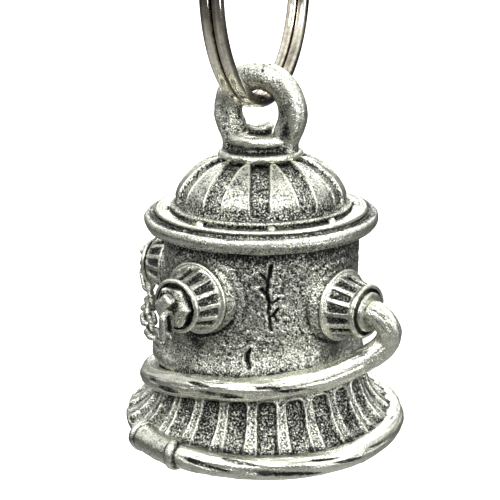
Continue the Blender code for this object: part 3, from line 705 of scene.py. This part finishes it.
def ledge_shape(azimuth, r, z, s, points):
    lines = streaks(azimuth, s, 31, 3.0, 0.3)
    lip = bump(r - 10.35, 0.22)
    out = 0.03 * lines + 0.03 * noise(points, 0.7, 32)
    antiquing_and_shade = 0.06 + 0.26 * lines - 0.2 * lip + 0.3 * ease(9.25, 9.08, r) + 0.6 * ease(23.3, 23.0, z)
    return out, antiquing_and_shade, 0.25 + 0 * r


BONNET_OUTSIDE = ((4.3, 28.5), (5.2, 28.27), (6.2, 27.7), (7.1, 26.98), (7.8, 26.25))
BONNET_OUTSIDE += ((8.3, 25.45), (8.6, 24.2))


def bonnet_shape(azimuth, r, z, s, points):
    foot = int(np.argmax(r[:, 0]))
    low = np.interp(4.5, r[:foot, 0], s[:foot, 0])
    high, toe_start, bead_at = np.interp((-24.45, -25.5, -23.93), -z[:foot, 0], s[:foot, 0])
    pitch = 360 / BONNET_PANELS
    offset = (azimuth + 1.3 + pitch / 2) % pitch - pitch / 2
    across = np.radians(offset) * r + 0.05 * noise(points, 1.0, 41)
    edge = from_panel(across, s, 0.92, low - 1.2, high, 0.5) + 0.03 * noise(points, 0.4, 42)
    inside = ease(0.02, -0.12, edge)
    line = bump(edge - 0.12, 0.11)
    bead = bump(s - bead_at, 0.24)
    rib = (1 - inside) * (1 - bead)
    toe = ease(toe_start, high, s) * rib
    rough = noise(points, 0.26, 44)
    out = panel_relief(edge, 0.34)
    out += 0.05 * noise(points, 2.0, 43) * (1 - inside) + 0.07 * inside * rough
    out += 0.07 * bead * noise(points, 0.35, 45) - 0.05 * toe * (1 - rough)
    blotch = noise(points, 1.1, 47)
    upper = ease(high, low, s)
    antiquing_and_shade = 0.27 + (0.16 + 0.22 * upper) * blotch * rib + 0.25 * inside - 0.3 * line
    antiquing_and_shade += 0.4 * toe - 0.16 * bead + 0.3 * inside * ease(0.75, 1.0, upper)
    antiquing_and_shade += 0.16 * inside * ease(0.2, 0.0, upper) + 0.25 * inside * bump(edge + 0.14, 0.12)
    antiquing_and_shade += 0.5 * bump(s - bead_at - 0.42, 0.13)
    stipple = 0.5 + 0.5 * inside - 0.3 * line + 0.5 * toe + 0.2 * bead
    return out, antiquing_and_shade, stipple


def make_bonnet():
    edge = [(8.72, 24.13), (8.95, 24.06), (9.07, 23.9), (8.97, 23.7), (8.95, 23.4)]
    outside = [(0.0, 28.5), (2.0, 28.5), *softened(BONNET_OUTSIDE), *edge]
    inside = [(8.95, 22.9), (8.3, 22.9), (8.05, 23.8), (7.4, 25.2), (6.4, 26.2), (5.1, 26.9)]
    inside.append((0.0, 26.9))
    lathe("bonnet", outside, inside, 560, bonnet_shape)


def plain_shape(antiquing_and_shade, stipple, seed, lumps=0.04, size=0.9):
    def shape(azimuth, r, z, s, points):
        out = lumps * noise(points, size, seed) + 0.4 * lumps * noise(points, size / 3, seed + 1)
        return out, antiquing_and_shade + 0.15 * noise(points, size, seed + 2), stipple + 0 * r

    return shape


def make_flange():
    low = BARREL_TOP + GAP
    roll = arc(ROLL_CENTRE, ROLL_RADIUS, 75, -90, 24)
    outside = [(10.2, FLANGE_TOP), (10.6, 23.1), *roll, (10.0, low)]
    inside = [(INNER_RADIUS, low), (INNER_RADIUS, FLANGE_TOP)]
    lathe("flange_ring", outside, inside, 420, flange_shape)
    low = FLANGE_TOP + GAP
    edge = arc((10.33, 23.42), 0.25, 130, -65, 10)
    outside = [(LEDGE_INNER_RADIUS, 23.42), (9.9, 23.44), (10.1, 23.52), *edge, (10.3, low)]
    lathe("bonnet_ledge", outside, [(LEDGE_INNER_RADIUS, low)], 420, ledge_shape)


def make_bolts():
    for number, azimuth in enumerate(BOLT_AZIMUTHS, 1):
        x, y, _ = polar(azimuth, BOLT_CIRCLE_RADIUS, 0)
        profile = [(0, 23.92), *arc((0, 23.5), 0.43, 75, 0, 7), (0.45, 23.39), (0, 23.39)]
        at = Matrix.Translation((x, y, 0))
        shape = plain_shape(0.05, 0.1, 50 + number, 0.04, 0.4)
        lathe(f"bonnet_bolt_{number}", profile, [], 28, shape, step=0.1, at=at)


def neck_shape(azimuth, r, z, s, points):
    lines = streaks(azimuth, s, 61, 1.6, 0.3)
    out = 0.05 * lines + 0.06 * noise(points, 0.8, 62)
    antiquing_and_shade = 0.02 + 0.25 * lines + 0.7 * ease(29.1, 29.28, z) * ease(4.1, 3.6, r)
    return out, antiquing_and_shade, 0.4 + 0 * r


def boss_shape(azimuth, r, z, s, points):
    band = ease(29.85, 30.05, z)
    lines = streaks(azimuth, s, 64, 2.0, 0.35)
    out = (0.05 * lines + 0.05 * noise(points, 1.2, 65)) * band
    out += 0.12 * (1 - band) * noise(points, 0.35, 66)
    top = ease(30.72, 30.85, z)
    antiquing_and_shade = -0.06 + 0.22 * lines + 0.7 * (1 - band) + 0.3 * top * ease(1.4, 1.9, r)
    return out, antiquing_and_shade, 0.35 + 0.5 * (1 - band)


def stud_shape(azimuth, r, z, s, points):
    top = ease(31.3, 31.45, z)
    ragged = noise(points, 0.45, 71)
    out = 0.04 * noise(points, 0.9, 72) + 0.1 * (1 - top) * ragged
    antiquing_and_shade = 0.14 + 0.75 * (1 - top) + 0.2 * noise(points, 0.6, 73)
    return out, antiquing_and_shade, 0.3 + 0.5 * (1 - top)


def make_neck():
    edge = arc((3.85, 28.92), 0.36, 80, -80, 10)
    profile = [(0, NECK_TOP), (3.4, NECK_TOP), *edge, (3.6, 28.54), (0, 28.54)]
    lathe("neck_ring", profile, [], 260, neck_shape, step=0.14)
    low = NECK_TOP + GAP
    edge = arc((2.52, 30.32), 0.64, 85, -62, 12)
    profile = [(0, 30.9), (2.2, 30.92), *edge, (2.72, 29.72), (2.72, low), (0, low)]
    lathe("top_boss", profile, [], 240, boss_shape, step=0.14)
    profile = [(0, 31.87), (1.0, 31.85), (1.22, 31.77), (1.36, 31.6), (1.36, 31.4), (1.2, 31.2)]
    profile += [(1.15, 30.94), (0, 30.94)]
    lathe("operating_nut", profile, [], 120, stud_shape, step=0.1)


# Loop and split ring


def loop_path(foot):
    """The loop's centre line, from its right foot over the top to its left."""
    leg = []
    for t in np.linspace(0.05, 1, 16):
        lean = (LOOP_RADIUS - LOOP_FOOT_HALF_WIDTH) * (1 - math.cos(math.pi * t)) / 2
        leg.append((LOOP_RADIUS - lean, LOOP_HEIGHT + (LOOP_FOOT_BEND - LOOP_HEIGHT) * t))
    leg.append((LOOP_FOOT_HALF_WIDTH, foot))
    top = arc((0, LOOP_HEIGHT), LOOP_RADIUS, 0, 180, 70)
    line = [*reversed(leg), *top, *((-x, z) for x, z in leg)]
    return respaced([(x, 0.0, z) for x, z in line], 0.14)


def loop_shape(s, angle, points):
    """Angle 0 faces out from the loop's middle, and 270 degrees towards its front."""
    share = s / s.max()
    x, z = points[..., 0], points[..., 2]
    left = ease(0.72, 0.92, share)
    front_on = 2 * math.pi - angle
    ridge = front_on - 0.75 - 0.25 * np.sin(share * 9)
    scratch = grain_along(s, angle, 2.2, 5, 80)
    out = 0.1 * bump(ridge, 0.22) - 0.07 * bump(ridge - 0.6, 0.3)
    out += 0.07 * noise(points, 1.4, 81) + 0.035 * noise(points, 0.5, 82) + 0.02 * scratch
    out += 0.06 * left * noise(points, 0.32, 83)
    front = ease(-0.3, -0.9, points[..., 1])
    pit = bump((z - 31.3) / 1.25, 1.0) * bump((x - 3.3) / 0.42, 1.0) * front
    small = noise(points, 0.4, 84)
    pits = ease(0.45, 0.75, small) * ease(0.35, 0.45, share) * ease(0.75, 0.6, share)
    out -= 0.3 * pit + 0.12 * pits
    low = ease(30.3, 29.6, z)
    antiquing_and_shade = 0.14 + 0.18 * noise(points, 1.2, 85) + 0.6 * pit + 0.5 * pits + 0.25 * low
    antiquing_and_shade += 0.3 * left * (0.2 + noise(points, 0.6, 86)) - 0.2 * bump(ridge, 0.22)
    antiquing_and_shade += 0.2 * scratch + 0.22 * ease(0.15, 0.6, ridge) * ease(2.4, 1.6, ridge)
    # Painted shade on the loop's inner face, the side towards its middle.
    antiquing_and_shade += 0.15 * bump(angle - math.pi, 0.9)
    return out, antiquing_and_shade, 0.34 + 0.5 * left + 0.4 * low


def make_loop():
    at = Matrix.Rotation(math.radians(LOOP_TURN), 4, "Z")
    path = loop_path(NECK_TOP - 0.02)
    sweep("hanging_loop", path, LOOP_WIRE_RADIUS, 72, (1, 0, 0), loop_shape, at=at)


def ring_section(angle):
    """A drawn wire: a rectangle with well rounded corners."""
    x, y = np.cos(angle), np.sin(angle)
    size = (np.abs(x) ** 2.3 + np.abs(y) ** 2.3) ** (-1 / 2.3)
    return x * size * RING_WIRE[0] / 2, y * size * RING_WIRE[1] / 2


def make_split_ring():
    """Two turns of wire side by side, with its step from one to the other where its ends lie."""
    radius = RING_INNER_RADIUS + RING_WIRE[0] / 2
    last = 720 - 2 * RING_END_ANGLE
    path = []
    for turned in np.linspace(RING_END_ANGLE, RING_END_ANGLE + last, 460):
        step = min(max((turned - 360 + RING_END_ANGLE) / (2 * RING_END_ANGLE), 0), 1)
        side = (step * step * (3 - 2 * step) - 0.5) * RING_PITCH
        angle = math.radians(turned + RING_SPLIT_ANGLE)
        path.append((radius * math.cos(angle), radius * math.sin(angle), side))

    def shape(s, angle, points):
        # The wire is darker on its flat sides: where the two turns meet this is tarnish and
        # painted shade, and on the outer sides it is painted shade, the dark edge of a polished
        # rounded wire.
        groove = ease(0.72, 0.95, np.abs(np.sin(angle)))
        drawn = grain_along(s, angle, 9, 3.5, 91)
        worn = grain_along(s, angle, 3.5, 1, 92)
        return 0.01 * drawn, 0.26 + 0.35 * groove + 0.34 * drawn + 0.3 * worn, 0.1

    start = math.radians(RING_END_ANGLE + RING_SPLIT_ANGLE)
    first = (math.cos(start), math.sin(start), 0)
    stand = Matrix.Rotation(math.radians(RING_TURN), 4, "Z") @ Matrix.Rotation(math.pi / 2, 4, "Y")
    at = Matrix.Translation((0, 0, RING_HEIGHT)) @ stand
    more = {"section": ring_section, "body": "split_ring", "at": at}
    sweep("split_ring", path, None, 40, first, shape, **more)


# Outlets


def outlet_matrix(azimuth, height):
    """Turns Z, a lathe's axis, to point out of the barrel."""
    turn = Matrix.Rotation(math.radians(azimuth), 4, "Z") @ Matrix.Rotation(math.pi / 2, 4, "X")
    return Matrix.Translation((0, 0, height)) @ turn


def outlet_shape(seed):
    def shape(azimuth, r, z, s, points):
        pitch = 360 / OUTLET_WINDOWS
        offset = (azimuth + pitch / 2) % pitch - pitch / 2
        half = 0.49 - 0.09 * (z - 10.8)
        across = np.radians(offset) * r
        edge = from_panel(across, z, half, 10.74, 12.76, 0.16) + 0.03 * noise(points, 0.4, seed)
        inside = ease(0.03, -0.1, edge)
        brim = bump(z - 10.42, 0.2) * (r > 2.9)
        out = -0.3 * inside + 0.05 * noise(points, 0.9, seed + 1) + 0.06 * brim
        out += 0.04 * inside * noise(points, 0.3, seed + 2)
        foot = ease(10.3, 10.1, z)
        antiquing_and_shade = 0.08 + 0.7 * inside - 0.3 * brim + 0.16 * noise(points, 0.8, seed + 3)
        antiquing_and_shade += 0.14 * foot + 0.5 * ease(12.8, 12.95, z) + 0.4 * bump(z - 10.18, 0.1)
        out += 0.07 * foot * noise(points, 0.28, seed + 4)
        return out, antiquing_and_shade, 0.3 + 0.25 * inside + 0.5 * foot

    return shape


def collar_shape(seed):
    def shape(azimuth, r, z, s, points):
        out = 0.04 * noise(points, 0.7, seed) + 0.02 * noise(points, 0.25, seed + 4)
        within = ease(2.34, 2.2, r)
        return out, 0.03 + 0.85 * within + 0.2 * noise(points, 0.6, seed + 8), 0.2 + 0 * r

    return shape


def make_outlets():
    for number, (name, azimuth, height, closed_by) in enumerate(OUTLETS):
        at = outlet_matrix(azimuth, height)
        profile = [(0, 12.95), (2.3, 12.95), (2.42, 12.9), (3.2, 10.55), (3.42, 10.52)]
        profile += [(3.5, 10.38), (3.48, 10.2), (3.55, 9.95), (3.85, 9.4), (3.85, 8.9), (0, 8.9)]
        lathe(f"outlet_{name}", profile, [], 340, outlet_shape(100 + 10 * number), step=0.1, at=at)
        profile = [(COLLAR_BORE_RADIUS, 13.0), (COLLAR_BORE_RADIUS, 13.3), (2.22, 13.42)]
        profile += [(2.36, 13.5), (2.5, 13.46), (2.62, 13.32), (2.64, 13.15), (2.56, 13.0)]
        lathe(f"collar_{name}", profile, [], 170, collar_shape(140 + number), step=0.1, at=at)
        if closed_by == "nut":
            make_nut(name, at, 150 + 10 * number)
        else:
            make_ferrule(at)


def make_ferrule(at):
    profile = [(0, 13.86), (1.6, 13.86), (1.82, 13.8), (1.93, 13.64), (1.9, 13.4), (1.82, 13.2)]
    profile += [(1.8, 12.99), (0, 12.99)]
    shape = plain_shape(0.12, 0.2, 145, 0.04, 0.6)
    lathe("hose_ferrule", profile, [], 120, shape, step=0.1, at=at)


def nut_shape(seed):
    def shape(azimuth, r, z, s, points):
        flat = (azimuth + 30) % 60 - 30
        reach = np.minimum(0.885 / np.cos(np.radians(flat)), 0.995)
        out = (reach - 1.0) * r * ease(1.0, 1.7, r) + 0.06 * noise(points, 0.6, seed)
        out = out + 0.03 * noise(points, 0.25, seed + 4)
        face = ease(14.05, 14.15, z)
        # Darker low down near the collar, and on the face round the lug's foot.
        antiquing_and_shade = 0.08 + 0.16 * noise(points, 0.7, seed + 1) + 0.75 * ease(13.55, 13.35, z)
        away = np.hypot(points[..., 0] - LUG_PLACE[0], points[..., 1] - LUG_PLACE[1])
        antiquing_and_shade += 0.85 * face * ease(1.45, 1.0, away) - 0.25 * bump(z - 13.9, 0.3)
        return out, antiquing_and_shade, 0.35 + 0.3 * face

    return shape


def make_nut(name, at, seed):
    """A worn six-sided nut with a fat leaning lug cast on to its face."""
    profile = [(0, 14.22), (1.62, 14.2), (1.86, 14.12), (1.97, 13.98), (2.0, 13.8), (2.0, 13.1)]
    profile += [(1.9, 12.99), (0, 12.99)]
    lathe(f"cap_nut_{name}", profile, [], 180, nut_shape(seed), step=0.09, at=at)
    turn = Matrix.Rotation(math.radians(LUG_LEAN), 4, "Z")
    turn = Matrix.Translation((*LUG_PLACE, LUG_HEIGHT)) @ turn
    rows, columns = 28, 44
    up = np.linspace(-math.pi / 2, math.pi / 2, rows + 2)[1:-1][:, None]
    about = np.linspace(0, 2 * math.pi, columns, endpoint=False)[None, :]
    way = [np.cos(up) * np.cos(about), np.cos(up) * np.sin(about), np.sin(up) + 0 * about]
    way = np.stack(way, -1).reshape(-1, 3)
    way = np.concatenate([way, [(0, 0, -1.0), (0, 0, 1.0)]])
    size = np.sum(np.abs(way) ** 5, axis=1) ** (-1 / 5)
    points = way * size[:, None] * LUG_HALF_SIZE
    lumps = 0.06 * noise(points, 0.5, seed + 5) + 0.03 * noise(points, 0.2, seed + 6)
    points += way * lumps[:, None]
    antiquing_and_shade = 0.6 * ease(0.2, -0.3, points[:, 2]) + 0.15 * noise(points, 0.5, seed + 7)
    more = {"at": at @ turn, "suffix": "lug"}
    add_piece(f"cap_nut_{name}", points, grid_faces(rows, columns), antiquing_and_shade, 0.45, **more)


# Hose, coupling and chain

# Azimuth, lean from the outward side in degrees, half length, half width and depth
HOSE_DENTS = (
    (-50.0, -10.0, 1.5, 0.35, 0.16),
    (-20.0, -12.0, 2.1, 0.4, 0.18),
    (-31.0, 35.0, 1.2, 0.2, 0.1),
    (2.0, 20.0, 1.6, 0.18, 0.08),
    (14.0, -8.0, 2.2, 0.25, 0.1),
    (-62.0, 20.0, 1.0, 0.25, 0.12),
    (-383.0, 12.0, 2.6, 0.3, 0.15),
    (-352.0, -10.0, 3.4, 0.4, 0.17),
    (-338.0, 40.0, 2.0, 0.18, 0.08),
    (-327.0, 5.0, 1.8, 0.2, 0.1),
    (-368.0, 45.0, 2.2, 0.2, 0.08),
    (-310.0, 20.0, 2.0, 0.22, 0.1),
    (-128.0, 0.0, 2.4, 0.35, 0.14),
    (-170.0, 20.0, 2.0, 0.3, 0.12),
    (-230.0, -5.0, 2.6, 0.3, 0.14),
    (-265.0, 15.0, 2.2, 0.3, 0.14),
)


def hose_shape(s, angle, points):
    azimuth, radius, height = (HOSE_LINE[:, k][:, None] for k in range(3))
    outward = np.hypot(points[..., 0], points[..., 1]) - radius
    tilt = np.degrees(np.arctan2(points[..., 2] - height, outward))
    around = np.radians(tilt) * HOSE_RADIUS
    crease = grain_along(s, angle, 4.5, 2.6, 201)
    fine = grain_along(s, angle, 1.6, 5, 202)
    hair = grain_along(s, angle, 3.2, 6.5, 205)
    scratch = grain_along(s, angle, 1.1, 9, 206)
    furrow = bump(crease, 0.08) * ease(-0.2, 0.3, noise(points, 2.2, 204))
    out = 0.08 * crease - 0.06 * furrow + 0.03 * fine + 0.04 * hair + 0.02 * scratch
    out += 0.03 * noise(points, 0.5, 203)
    antiquing_and_shade = 0.05 + 0.2 * fine + 0.36 * hair + 0.26 * scratch + 0.6 * furrow
    antiquing_and_shade += 0.8 * ease(0.4, 0.1, s.max() - s)
    for at, lean, long, wide, deep in HOSE_DENTS:
        away = np.radians(azimuth - at) * radius
        skew = around - math.radians(lean) * HOSE_RADIUS + 0.12 * away
        mark = bump(away / long, 1.0) * bump(skew / wide, 1.0)
        out -= deep * mark
        antiquing_and_shade += 0.95 * ease(0.25, 0.75, mark + 0.15 * fine) - 0.25 * bump(mark - 0.2, 0.12)
    # Painted shade on the hose's lower side, and on its side that faces the barrel.
    antiquing_and_shade += 0.2 * ease(-20, -80, tilt) + 0.5 * ease(130, 165, np.abs(tilt)) * (azimuth < 40)
    return out, antiquing_and_shade, 0.42 + 0 * s


def make_hose():
    sweep("hose", HOSE_POINTS, HOSE_RADIUS, 80, (0, 0, 1), hose_shape)


def make_coupling():
    _, radius, height = HOSE_ROUTE[-1]
    half = math.degrees(BAND_HALF_WIDTH / radius)
    gap = math.degrees(0.08 / radius)
    near, far = COUPLING_BANDS
    spans = {
        "coupling_band_front": (near + half, near - half, BAND_RADIUS),
        "coupling_sleeve": (near - half - gap, far + half + gap, SLEEVE_RADIUS),
        "coupling_band_end": (far + half, far - half, BAND_RADIUS),
    }
    for number, (name, (start, end, tube)) in enumerate(spans.items()):
        steps = max(8, math.ceil(abs(end - start) * radius * math.radians(1) / 0.12))
        turned = np.linspace(start, end, steps + 1)
        path = polar(turned, radius, height)

        def shape(s, angle, points, number=number, tube=tube):
            ends = np.minimum(s, s.max() - s)
            band = float(tube == BAND_RADIUS)
            lines = grain_along(s, angle, 3.0, 4, 210 + number)
            specks = noise(points, 0.3, 216)
            out = 0.03 * lines + 0.03 * noise(points, 0.6, 215)
            out = out - band * 0.3 * (1 - ease(0.0, 0.26, ends)) ** 2
            antiquing_and_shade = 0.08 + 0.26 * lines + 0.25 * specks
            antiquing_and_shade = antiquing_and_shade + 0.6 * (1 - ease(0.0, 0.16, ends)) - 0.05 * band
            return out, antiquing_and_shade, 0.3

        sweep(name, path, tube, 64, (0, 0, 1), shape)


def make_chain():
    line = smooth_route(CHAIN_ROUTE, 40)
    points = polar(line[:, 0], line[:, 1], line[:, 2])
    total = lengths_along(points)
    spots = np.linspace(0, total[-1], CHAIN_LINKS + 1)
    knots = np.stack([np.interp(spots, total, points[:, k]) for k in range(3)], -1)
    for number, (start, end) in enumerate(zip(knots, knots[1:]), 1):
        along = (end - start) / np.linalg.norm(end - start)
        middle = (start + end) / 2
        outwards = np.array([middle[0], middle[1], 0]) / np.hypot(middle[0], middle[1])
        across = np.cross(along, outwards)
        across /= np.linalg.norm(across)
        side = np.cross(along, across) if number % 2 else across
        straight = np.linalg.norm(end - start) / 2 + CHAIN_OVERLAP - CHAIN_LINK_HALF_WIDTH
        outline = arc((straight, 0), CHAIN_LINK_HALF_WIDTH, -90, 90, 12)
        outline += arc((-straight, 0), CHAIN_LINK_HALF_WIDTH, 90, 270, 12)
        path = [middle + along * x + side * y for x, y in outline]

        def shape(s, angle, points, seed=220 + number, path=np.array(path), middle=middle):
            away = points - path[:, None]
            inward = middle - path
            inward /= np.linalg.norm(inward, axis=1, keepdims=True)
            within = np.einsum("ijk,ik->ij", away, inward) / CHAIN_WIRE_RADIUS
            # Painted shade on the side of each link's wire that faces into the link.
            antiquing_and_shade = 0.34 + 0.3 * noise(points, 0.7, seed + 20) + 0.7 * ease(0.0, 0.8, within)
            return 0.04 * noise(points, 0.5, seed), antiquing_and_shade, 0.4

        first = np.cross(along, side)
        sweep(f"chain_link_{number}", path, CHAIN_WIRE_RADIUS, 16, first, shape, closed=True)


# Clapper


def clapper_shape(azimuth, r, z, s, points):
    """Rough as cast, and rubbed bright round the bob."""
    worn = bump(z - BOB_HEIGHT, 1.1)
    out = 0.02 * noise(points, 1.3, 250) + 0.02 * noise(points, 0.4, 251)
    antiquing_and_shade = 0.34 + 0.3 * noise(points, 0.9, 252) - 0.4 * worn + 0.3 * ease(7.4, 8.2, z)
    return out, antiquing_and_shade, 0.3 + 0 * r


def wire_shape(seed):
    def shape(s, angle, points):
        return 0.015 * noise(points, 0.5, seed), 0.25 + 0.35 * noise(points, 0.8, seed + 1), 0.2

    return shape


def make_clapper():
    turn = Matrix.Rotation(math.radians(LOOP_TURN), 4, "Z")
    top = EYE_HEIGHT - EYE_RADIUS
    stem = [(0, top), (0.4, top), (0.45, 19.5), (0.6, 10.5), (0.85, 8.4)]
    bob = arc((0, BOB_HEIGHT), BOB_RADIUS, 62, -90, 40)
    bob[-1] = (0, bob[-1][1])
    lathe("clapper", stem + bob, [], 90, clapper_shape, step=0.15, body="clapper")
    eye = [(0.0, y, z) for y, z in arc((0, EYE_HEIGHT), EYE_RADIUS, 0, 354, 59)]
    more = {"closed": True, "body": "clapper", "at": turn, "suffix": "eye"}
    sweep("clapper", eye, EYE_WIRE_RADIUS, 20, (1, 0, 0), wire_shape(255), **more)
    bar = arc((0, STAPLE_HEIGHT), STAPLE_RADIUS, 180, 360, 24)
    bar = [(-STAPLE_RADIUS, STAPLE_TOP), *bar, (STAPLE_RADIUS, STAPLE_TOP)]
    path = respaced([(0.0, y, z) for y, z in bar], 0.2)
    sweep("clapper_staple", path, STAPLE_WIRE_RADIUS, 20, (1, 0, 0), wire_shape(257), at=turn)
    link = [(x, 0.0, z) for x, z in arc((0, LINK_HEIGHT), LINK_RADIUS, 0, 354, 59)]
    more = {"closed": True, "body": "clapper_link", "at": turn}
    sweep("clapper_link", link, LINK_WIRE_RADIUS, 20, (0, 1, 0), wire_shape(259), **more)


make_skirt()
make_barrel()
make_flange()
make_bonnet()
make_bolts()
make_neck()
make_loop()
make_split_ring()
make_outlets()
make_hose()
make_coupling()
make_chain()
make_clapper()


# Floor, light and camera


def make_floor():
    """A pale sheet that glows a little, so that it reads as plain white under the bell."""
    mesh = bpy.data.meshes.new("floor")
    size = 4.0  # metres, half the sheet's side
    corners = [(-size, -size, 0), (size, -size, 0), (size, size, 0), (-size, size, 0)]
    mesh.from_pydata(corners, [], [[0, 1, 2, 3]])
    floor = bpy.data.objects.new("floor", mesh)
    bpy.context.scene.collection.objects.link(floor)
    floor.location.z = (MOUTH - FLOOR_DROP) * MM
    n = Nodes("floor")
    shade = n.ramp(n.noise(40.0, 2.0), ((0.0, (0.93, 0.93, 0.93)), (1.0, (0.95, 0.95, 0.95))))
    n.link(shade, n.shader.inputs["Base Color"])
    n.shader.inputs["Roughness"].default_value = 0.9
    n.shader.inputs["Emission Color"].default_value = (1, 1, 1, 1)
    n.shader.inputs["Emission Strength"].default_value = 1.0
    mesh.materials.append(n.material)
    floor.visible_glossy = False


def add_light(name, place, target, size, power):
    data = bpy.data.lights.new(name, "AREA")
    data.shape = "RECTANGLE"
    data.size, data.size_y = size
    data.energy = power
    light = bpy.data.objects.new(name, data)
    bpy.context.scene.collection.objects.link(light)
    light.location = place
    way = Vector(target) - Vector(place)
    light.rotation_euler = way.to_track_quat("-Z", "Y").to_euler()


# How bright the studio is, from straight below (0) to straight above (1). The dark band under the
# horizon gives the polished metal its contrast.
STUDIO = ((0.0, 0.5), (0.15, 0.42), (0.27, 0.16), (0.46, 0.08))
STUDIO += ((0.55, 0.32), (0.7, 0.95), (0.87, 1.25), (1.0, 0.9))


def make_lights():
    middle = (0, 0, -0.035)
    add_light("key", (-0.09, -0.2, 0.17), middle, (0.16, 0.1), 0.55)
    add_light("fill", (0.2, -0.15, 0.03), middle, (0.07, 0.22), 0.34)
    add_light("rim", (0.03, 0.2, 0.12), middle, (0.2, 0.08), 0.35)
    world = bpy.data.worlds.new("studio")
    bpy.context.scene.world = world
    world.use_nodes = True
    tree = world.node_tree
    add, link = tree.nodes.new, tree.links.new
    place = add("ShaderNodeTexCoord")
    split = add("ShaderNodeSeparateXYZ")
    link(place.outputs["Generated"], split.inputs[0])
    ramp = add("ShaderNodeValToRGB")
    half = add("ShaderNodeMath")
    half.operation = "MULTIPLY_ADD"
    half.inputs[1].default_value = 0.5
    half.inputs[2].default_value = 0.5
    link(split.outputs["Z"], half.inputs[0])
    link(half.outputs[0], ramp.inputs[0])
    stops = [(position, (level, level, level * 0.98)) for position, level in STUDIO]
    fill_ramp(ramp.color_ramp.elements, stops)
    # The backdrop itself shows as plain white.
    path = add("ShaderNodeLightPath")
    seen = add("ShaderNodeMix")
    seen.data_type = "RGBA"
    lit_by, backdrop, result = seen.inputs[6], seen.inputs[7], seen.outputs[2]
    link(path.outputs["Is Camera Ray"], seen.inputs["Factor"])
    link(ramp.outputs[0], lit_by)
    backdrop.default_value = (1, 1, 1, 1)
    link(result, tree.nodes["Background"].inputs["Color"])


def make_camera():
    """Looks at aim from in front and above."""
    tilt, distance, roll = math.radians(16.16), 121.17, math.radians(-0.6)
    aim = Vector((-1.1445, 0, 18.9))
    place = aim + Vector((0, -distance * math.cos(tilt), distance * math.sin(tilt)))
    forward = Vector((0, math.cos(tilt), -math.sin(tilt)))
    right = Vector((1, 0, 0))
    up = right.cross(forward)
    x = right * math.cos(roll) + up * math.sin(roll)
    y = up * math.cos(roll) - right * math.sin(roll)
    matrix = Matrix((x, y, -forward)).transposed().to_4x4()
    matrix.translation = (place + Vector((0, 0, MOUTH))) * MM
    data = bpy.data.cameras.new("camera")
    data.lens = 86.4
    data.sensor_width = 36
    data.clip_start = 0.001
    camera = bpy.data.objects.new("camera", data)
    bpy.context.scene.collection.objects.link(camera)
    camera.matrix_world = matrix
    bpy.context.scene.camera = camera


make_floor()
make_lights()
make_camera()
bpy.context.scene.view_settings.view_transform = "Standard"
